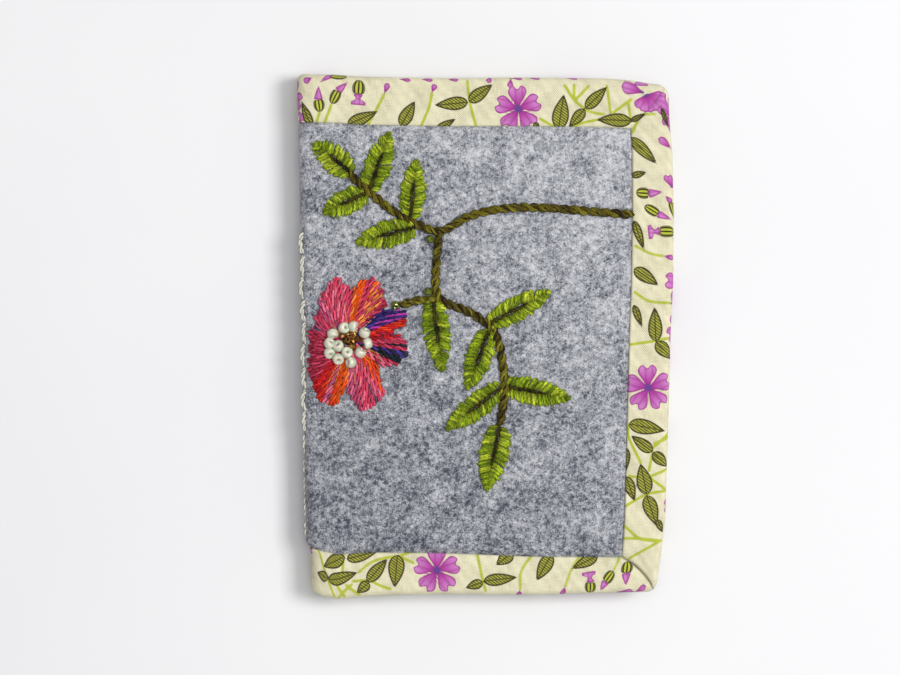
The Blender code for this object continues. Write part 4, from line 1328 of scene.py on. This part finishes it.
# Each petal's colours, as the degrees where a colour starts and the colours of its plies, inner end first.
PETAL_DYES = {
    "pink_upper": [(85, [ROSE, PINK]), (92, [PINK, PALE_PINK]), (98, [PINK, PINK]), (104, [PINK, PALE_PINK]),
                   (116, [PINK, PINK]), (122, [MAUVE, PALE_PINK]), (130, [MAUVE, ROSE])],
    "orange_upper": [(40, [CRIMSON, ROSE]), (48, [ROSE, PEACH]), (56, [PINK, PEACH]), (62, [ORANGE, PEACH]),
                     (66, [ROSE, PINK]), (71, [ORANGE, ORANGE]), (80, [ORANGE, PEACH])],
    "violet": [(10, [RED, SCARLET]), (20.5, [PURPLE, VIOLET]), (26, [NAVY, PURPLE]), (32, [NAVY, VIOLET]),
               (36, [NAVY, NAVY])],
    "navy": [(-40, [ROSE, PALE_PINK]), (-30, [PINK, CRIMSON]), (-26, [TEAL_BLACK, TEAL_BLACK]),
             (-18, [TEAL_BLACK, VIOLET]), (-13, [CRIMSON, ROSE]), (-9, [TEAL_BLACK, TEAL_BLACK]),
             (-3.5, [ROSE, PINK]), (2, [CRIMSON, RED])],
    "pink_lower": [(-95, [MAUVE, PALE_PINK]), (-86, [MAUVE, PINK]), (-80, [PINK, PALE_PINK]),
                   (-74, [PINK, PINK]), (-68, [SLATE, MAUVE]), (-64, [PINK, PALE_PINK]),
                   (-58, [ORANGE, PINK]), (-50, [SCARLET, ORANGE])],
    "red_lower": [(-132, [RED, RED]), (-122, [RED, SCARLET]), (-115, [MAUVE, PALE_PINK]),
                  (-110, [SCARLET, ORANGE]), (-103, [ORANGE, ORANGE]), (-98, [PEACH, ORANGE])],
    "crimson": [(138, [ROSE, PINK]), (146, [MAUVE, ROSE]), (158, [SLATE, MAUVE]), (166, [CRIMSON, ROSE]),
                (196, [ROSE, CRIMSON]), (214, [CRIMSON, ROSE])],
}


def on_front(x, y, height, pillow):
    """Return places at a height over the front's felt."""
    x, y = np.asarray(x, float), np.asarray(y, float)
    return place(x, y, -(pillow(x, y) + height), FRONT)


def add_front(obj, node):
    """Put an embroidered piece on the front cover in place of its CAD node."""
    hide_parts(node)
    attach(obj, "front_cover")


# The radius and the pitch of each kind of thread, or of a stem's ply.
STEM_PLY, LEAF_THREAD, VEIN_THREAD, PETAL_THREAD = (0.64, 5.2), (0.42, 3.2), (0.5, 2.4), (0.6, 3.5)
# How each stem runs on past its CAD path, under the stitches that it meets.
JOINS = {
    "stem_across": ([(-34.6, 41.3)], [(35.6, 29.5)]),
    "stem_down": ([(-12.0, 25.7)], []),
    "flower_stalk": ([(-13.4, 9.7)], [(-22.4, 7.7)]),
}
STEM_STEP = 0.22


def make_stem(name, pillow):
    """Make a stem of rope-like twisted stitches: two plies, each of three yarns."""
    rng = np.random.default_rng([11, len(name)])
    line = resample(JOINS[name][0] + STEM_PATHS[name] + JOINS[name][1], STEM_STEP)
    along = run_along(line)
    sink = 0.6 * np.minimum(1, np.minimum(along, along[-1] - along) / 0.9)
    lift = 0.12 * np.sin(2 * math.pi * along / 4.2)
    centre = on_front(*line.T, sink + 0.05 * lift - 0.05, pillow)
    side, up = sideways(centre)
    threads = Threads()
    for ply in range(2):
        turn = (math.pi * ply - 2 * math.pi * along / 5.0)[:, None]
        swing = 0.56 * np.cos(turn) * side + 0.38 * np.sin(turn) * up
        shades = np.array([BARKS[k] for k in rng.integers(0, len(BARKS), 14)])
        shades = shades * rng.uniform(0.75, 1.3, (14, 1))
        yarns = [shades, shades[::-1], np.roll(shades, 5, axis=0)]
        threads.add_plied(centre + swing, *STEM_PLY, yarns, rng.uniform(0, 6), ply)
    outwards = np.stack([-np.gradient(line[:, 1]), np.gradient(line[:, 0])], -1) / STEM_STEP
    outwards = np.concatenate([outwards, -outwards])
    roots = np.concatenate([line, line]) + 0.8 * outwards
    add_fuzz(threads, rng, roots, outwards, 5 * round(along[-1]), BARKS[3], pillow, 0.6)
    add_front(threads.finish(f"{name}_cord", MATERIALS["thread"]), name)


def leaf_half_width(t, width):
    """Return half a stitched leaf's width, from its base at 0 to its tip at 1."""
    return 0.6 * width * np.sin(math.pi * (0.2 + 0.79 * np.clip(t, 0, 1) ** 0.95)) ** 0.9


def add_fuzz(threads, rng, roots, outwards, count, colour, pillow, reach=0.8, high=0.2):
    """Add fine stray fibres that stand out from stitches."""
    share = np.linspace(0, 1, 4)[:, None]
    for _ in range(count):
        k = rng.integers(0, len(roots))
        turn = rng.uniform(-1.1, 1.1)
        c, s = math.cos(turn), math.sin(turn)
        d = np.array([outwards[k][0] * c - outwards[k][1] * s, outwards[k][0] * s + outwards[k][1] * c])
        curl = np.array([-d[1], d[0]]) * rng.uniform(-0.3, 0.3)
        flat = roots[k] + d * reach * rng.uniform(0.3, 1.0) * share + curl * np.sin(math.pi * share)
        height = rng.uniform(0.1, 0.3) + high * rng.uniform(0.5, 1.5) + rng.uniform(-0.3, 0.3) * share[:, 0]
        path = on_front(*flat.T, height, pillow)
        threads.add(path, rng.uniform(0.03, 0.055), np.array(colour) * rng.uniform(0.7, 1.3), 3)


LEAF_STITCH_GAP = 0.54


def add_leaf_stitch(threads, rng, start, end, d, pillow):
    """Add one plump stitch of a leaf, which bows a little back towards the leaf's base."""
    share = np.linspace(0, 1, 7)[:, None]
    flat = start + (end - start) * share - d * 0.15 * np.sin(math.pi * share)
    rise = 0.6 + rng.uniform(-0.25, 0.25)
    height = 0.1 + rise * np.sin(math.pi * (0.2 + 0.76 * share[:, 0])) ** 0.8
    height[-1] = -0.05
    shade = np.array(LIMES[rng.integers(0, len(LIMES))]) * rng.uniform(0.8, 1.15)
    # Painted light: each stitch is painted dark at its root as shade and bright near its top as a highlight,
    # and its plies are painted darker and lighter copies of one colour.
    painted_shade_along = np.array([0.3, 0.75, 1.05, 1.2, 1.0])[:, None]
    shades = [shade * painted_shade_along * bright for bright in (1.0, 0.75, 1.15)]
    path = on_front(*flat.T, height, pillow)
    threads.add_plied(path, *LEAF_THREAD, shades, rng.uniform(0, 6), rng.uniform(), 0.3)


def add_vein(threads, rng, base, d, side, length, pillow):
    """Add the dark vein of a leaf: a row of short stitches that slant to either side in turn."""
    spots = np.linspace(-0.6, length, max(4, round(length / 2.2)))
    share = np.linspace(0, 1, 6)[:, None]
    for k, (near, far) in enumerate(zip(spots[:-1], spots[1:])):
        sway = side * 0.26 * (-1) ** k * (1 - 2 * share)
        flat = base + d * (near + (far - near + 0.3) * share) + sway
        height = 0.1 + 0.42 * np.sin(math.pi * share[:, 0])
        shades = np.array([BARKS[j] for j in rng.integers(0, 3, 4)]) * 0.55
        path = on_front(*flat.T, height, pillow)
        threads.add_plied(path, *VEIN_THREAD, [shades, shades[::-1]], rng.uniform(0, 6), 0.5, 0.22)


def make_leaf(number, tip, base, width, pillow):
    """Make a leaf of short plump stitches that slant out from both sides of a dark split vein."""
    rng = np.random.default_rng([23, number])
    tip, base = np.array(tip), np.array(base)
    d = (tip - base) / np.hypot(*(tip - base))
    stem_gap = min(float(line_distance(*base, path)) for path in STEM_PATHS.values())
    base = base - d * np.clip(stem_gap - 0.9, 0.0, 2.0)
    length = np.hypot(*(tip - base))
    side = np.array([-d[1], d[0]])
    threads = Threads()
    ends, outwards = [], []
    count = round(length / LEAF_STITCH_GAP)
    for k, hand in itertools.product(range(count), (1, -1)):
        t = (k + 0.5 * (hand > 0) + rng.uniform(-0.25, 0.25)) / count
        split = 1 - smoothstep(0.55, 0.7, t)
        root_on = t * 0.99 - 0.03
        half = leaf_half_width(t, width) + rng.uniform(-0.45, 0.28)
        forward = (0.75 + 0.9 * t + rng.uniform(-0.4, 0.4)) * min(1.0, 0.42 + (1 - t) * 2.2)
        gap = rng.uniform(0.25, 0.6) * split - 0.28 * (1 - split)
        start = base + d * root_on * length + side * hand * gap
        end = base + d * (root_on * length + forward) + side * hand * max(half, 0.3)
        add_leaf_stitch(threads, rng, start, end, d, pillow)
        ends.append(start + (end - start) * rng.uniform(0.1, 1.0))
        outwards.append((end - start) / np.hypot(*(end - start)))
    add_fuzz(threads, rng, ends, outwards, round(length * 26), LIMES[2], pillow, 0.9, 0.6)
    add_vein(threads, rng, base, d, side, length * (0.62 + 0.04 * (number % 3)), pillow)
    node = f"stitched_leaf_{number:02d}"
    add_front(threads.finish(f"{node}_stitches", MATERIALS["leaf_thread"]), node)


# How far a petal's threads spread past its outline, in degrees, how far apart their ends are, and how
# much further in than the CAD petal they start.
PETAL_OVERHANG, PETAL_THREAD_GAP, PETAL_ROOT = 1.6, 0.92, 5.2
GOLD_FILAMENT = (0.62, 0.33, 0.06)
GOLD_RADIUS, GOLD_SHARE = 0.09, 0.16


def petal_dye(name, degrees):
    """Return the plies' colours of the thread at an angle."""
    first = PETAL_DYES[name][0][1]
    found = [dyes for start, dyes in PETAL_DYES[name] if degrees >= start]
    return np.array((found or [first])[-1])


def make_petal(name, pillow):
    """Make a petal of long twisted straight stitches that spread from under the beads."""
    inner, outline = PETALS[name]
    rng = np.random.default_rng([37, len(name)])
    degrees, reach = np.array(outline, float).T
    mean = math.radians(np.mean(degrees))
    middle = np.array([math.cos(mean), math.sin(mean)])
    share = np.linspace(0, 1, 9)[:, None]
    threads = Threads()
    angle = degrees[0] - PETAL_OVERHANG
    layer = 0
    while angle <= degrees[-1] + PETAL_OVERHANG:
        far = float(np.interp(angle, degrees, reach)) + rng.uniform(-0.9, 0.35)
        near = inner - PETAL_ROOT + rng.uniform(-0.5, 0.3)
        out = np.array([math.cos(math.radians(angle)), math.sin(math.radians(angle))])
        start = FLOWER_CENTRE + near * (0.86 * out + 0.14 * middle)
        end = FLOWER_CENTRE + far * out
        side = np.array([-out[1], out[0], 0])
        bow = side[:2] * rng.uniform(-0.25, 0.25) * np.sin(math.pi * share)
        flat = start + (end - start) * share + bow
        height = 0.16 + 0.6 * np.sin(math.pi * np.linspace(0.08, 0.94, 9)) ** 0.8 + 0.22 * (layer % 2 - 0.5)
        height[0], height[-1] = 0.0, -0.05
        path = on_front(*flat.T, height, pillow)
        mixed = [dye * rng.uniform(0.55, 1.28, (5, 1)) for dye in petal_dye(name, angle)]
        threads.add_plied(path, *PETAL_THREAD, mixed, rng.uniform(0, 6), rng.uniform())
        if rng.uniform() < GOLD_SHARE:
            first = rng.integers(1, 4)
            glint = path[first:first + 5] + side * rng.uniform(-0.3, 0.3) + [0, 0, 0.42]
            threads.add(glint, GOLD_RADIUS, GOLD_FILAMENT, 5)
        angle += math.degrees(PETAL_THREAD_GAP / far) * rng.uniform(0.85, 1.15)
        layer += 1
    node = f"petal_{name}"
    add_front(threads.finish(f"{node}_threads", MATERIALS["thread"]), node)


# Each glass: its beads' radius, hole, height, sides and steps, and then their least and most tilt.
BEAD_KINDS = {
    "white_glass": ((1.46, 0.2, 2.1, 32, 16), (0.3, 1.4)),
    "green_glass": ((1.02, 0.28, 1.5, 12, 10), (0.5, 1.5)),
    "gold_glass": ((1.0, 0.2, 1.5, 10, 9), (0.4, 1.5)),
}


def bead_mesh(size, tilt, turn, centre):
    """Return the points and quads of a glass bead with a hole, and how far each point faces up."""
    radius, hole, height, sides, steps = size
    around = np.linspace(0, 2 * math.pi, sides, endpoint=False)[:, None]
    profile = np.linspace(0, 2 * math.pi, steps, endpoint=False)[None, :]
    rim = (radius - hole) / 2
    out, up = (np.sign(value) * np.abs(value) ** 0.8 for value in (np.cos(profile), np.sin(profile)))
    reach = hole + rim + rim * out
    ring = np.stack([np.cos(around) * reach, np.sin(around) * reach, height / 2 * up + 0 * around], -1)
    facing = np.stack([np.cos(around) * out, np.sin(around) * out, up + 0 * around], -1)
    matrix = np.array(Matrix.Rotation(turn, 3, "Z") @ Matrix.Rotation(tilt, 3, "X"))
    quads = grid_quads(sides + 1, steps, 0, wrap_columns=True) % (sides * steps)
    return ring.reshape(-1, 3) @ matrix.T + centre, quads, (facing.reshape(-1, 3) @ matrix.T)[:, 2]


def make_bead_group(node, places, glass, pillow, rng):
    """Make one piece of one or more beads; only the white ones are smooth, and the others are faceted."""
    size, tilts = BEAD_KINDS[glass]
    points, quads, lit = [], [], []
    for number, (x, y) in enumerate(places):
        lift = 0.86 * size[0] + rng.uniform(-0.12, 0.12)
        centre = on_front([x], [y], lift, pillow)[0]
        made = bead_mesh(size, rng.uniform(*tilts), rng.uniform(0, 6.3), centre)
        points.append(made[0])
        quads.append(made[1] + number * len(made[0]))
        lit.append(made[2])
    points, quads, smooth = np.vstack(points), np.vstack(quads), glass == "white_glass"
    obj = make_piece(f"{node}_glass", points, quads, MATERIALS[glass], smooth, lit=np.concatenate(lit))
    add_front(obj, node)


def make_beads(pillow):
    """Make the white ring, the green beads of the stem and the gold heart."""
    rng = np.random.default_rng(51)
    for number, at in enumerate(WHITE_BEADS, 1):
        make_bead_group(f"white_bead_{number:02d}", [at], "white_glass", pillow, rng)
    for number, at in enumerate(GREEN_BEADS, 1):
        make_bead_group(f"green_bead_{number}", [at], "green_glass", pillow, rng)
    make_bead_group("gold_beads", GOLD_BEADS, "gold_glass", pillow, rng)


SPINE_STITCHES, SPINE_STITCH_START, SPINE_STITCH_STEP, SPINE_STITCH_LENGTH = 14, -52, 5.6, 5.2
SPINE_THREAD, SPINE_DYE = (0.58, 3.6), (0.58, 0.57, 0.49)


def make_spine_stitches():
    """Make the row of off-white stitches that holds the pages, along the front corner of the spine."""
    rng = np.random.default_rng(61)
    threads = Threads()
    radius, pitch = SPINE_THREAD
    # The second ply is the same thread painted slightly darker, as shade along the twist.
    plies = [np.array(SPINE_DYE), np.array(SPINE_DYE) * 0.92]
    share = np.linspace(0, 1, 9)
    for start in SPINE_STITCH_START + SPINE_STITCH_STEP * np.arange(SPINE_STITCHES):
        y = start + share * (SPINE_STITCH_LENGTH + rng.uniform(-0.3, 0.3))
        seen = smoothstep(-32, -20, start)
        height = (0.75 * seen + 0.3) * np.sin(math.pi * share) ** 0.6 - 0.4
        sway = rng.uniform(-0.35, 0.35) * np.sin(math.pi * share) + rng.uniform(-0.2, 0.2)
        x = FLAT_START + WALL + ARC * (0.1 + 0.3 * seen) + sway
        path = place(x, y, -height, FRONT)
        plump = radius + rng.uniform(-0.06, 0.06)
        threads.add_plied(path, plump, pitch, plies, rng.uniform(0, 6), rng.uniform())
    obj = threads.finish("spine_stitch_thread", MATERIALS["thread"])
    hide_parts("spine_stitches")
    fold(obj, FRONT)


# ---- stage
VIEW_HEIGHT = 1.0
LENS = 160.0
FLOOR = 2.5
# Each light: its place, its size and its power.
LIGHTS = {"key": ((0.68, 0.1, 1.12), 0.45, 11.2), "top": ((0.12, 0.1, 1.5), 0.9, 7.0)}
SKY, SKY_STRENGTH = (1.0, 1.0, 1.02, 1.0), 0.38
ROLL = math.radians(1.0)
VIEW_X, VIEW_Y = -9.93 * MM, -0.74 * MM


def add_object(name, data):
    """Add an object of the stage to the scene."""
    obj = bpy.data.objects.new(name, data)
    bpy.context.scene.collection.objects.link(obj)
    return obj


def make_camera():
    """Look straight down, turned by the degree at which the case lies."""
    camera = add_object("Camera", bpy.data.cameras.new("Camera"))
    camera.data.sensor_width = 36.0
    camera.data.lens = LENS
    camera.data.clip_end = 20.0
    camera.location = (VIEW_X, VIEW_Y, VIEW_HEIGHT + THICK * MM)
    camera.rotation_euler = (0.0, 0.0, -ROLL)
    bpy.context.scene.camera = camera


def add_light(name, location, size, power):
    """Add a square soft white light that points at the case."""
    light = add_object(name, bpy.data.lights.new(name, "AREA"))
    light.data.size = size
    light.data.energy = power
    light.location = location
    light.rotation_euler = (-Vector(location)).to_track_quat("-Z", "Y").to_euler()


def make_stage():
    """Make the pale floor, the lights and the world."""
    s = Shader("floor", Specular_IOR_Level=0.2)
    grain = s.noise(s.node("ShaderNodeTexCoord").outputs["Object"], 6.0, 4.0)
    mesh = bpy.data.meshes.new("floor")
    corners = [(-FLOOR, -FLOOR, 0), (FLOOR, -FLOOR, 0), (FLOOR, FLOOR, 0), (-FLOOR, FLOOR, 0)]
    mesh.from_pydata(corners, [], [(0, 1, 2, 3)])
    paint = s.ramp(grain, (0.3, (0.76, 0.76, 0.77)), (0.7, (0.79, 0.79, 0.795)))
    mesh.materials.append(s.finish(paint, 0.75))
    add_object("floor", mesh)
    for name, light in LIGHTS.items():
        add_light(name, *light)
    world = bpy.data.worlds.new("studio")
    world.use_nodes = True
    colour, strength = world.node_tree.nodes["Background"].inputs[:2]
    colour.default_value = SKY
    strength.default_value = SKY_STRENGTH
    bpy.context.scene.world = world
    bpy.context.scene.view_settings.view_transform = "Standard"


# ---- the whole
make_camera()
make_stage()
front_pillow = Pillow(True, 71)
back_pillow = Pillow(False, 72)
for half, half_pillow in ((FRONT, front_pillow), (BACK, back_pillow)):
    make_felt(half, half_pillow)
    make_stiffener(half)
    make_lining(half)
    for strip_name in STRIPS:
        make_binding(half, strip_name)
for page_number in range(1, 5):
    make_page(page_number)
for stem_name in STEM_PATHS:
    make_stem(stem_name, front_pillow)
for leaf_number, (leaf_tip, leaf_base, leaf_width) in enumerate(LEAVES, 1):
    make_leaf(leaf_number, leaf_tip, leaf_base, leaf_width, front_pillow)
for petal_name in PETALS:
    make_petal(petal_name, front_pillow)
make_beads(front_pillow)
make_spine_stitches()
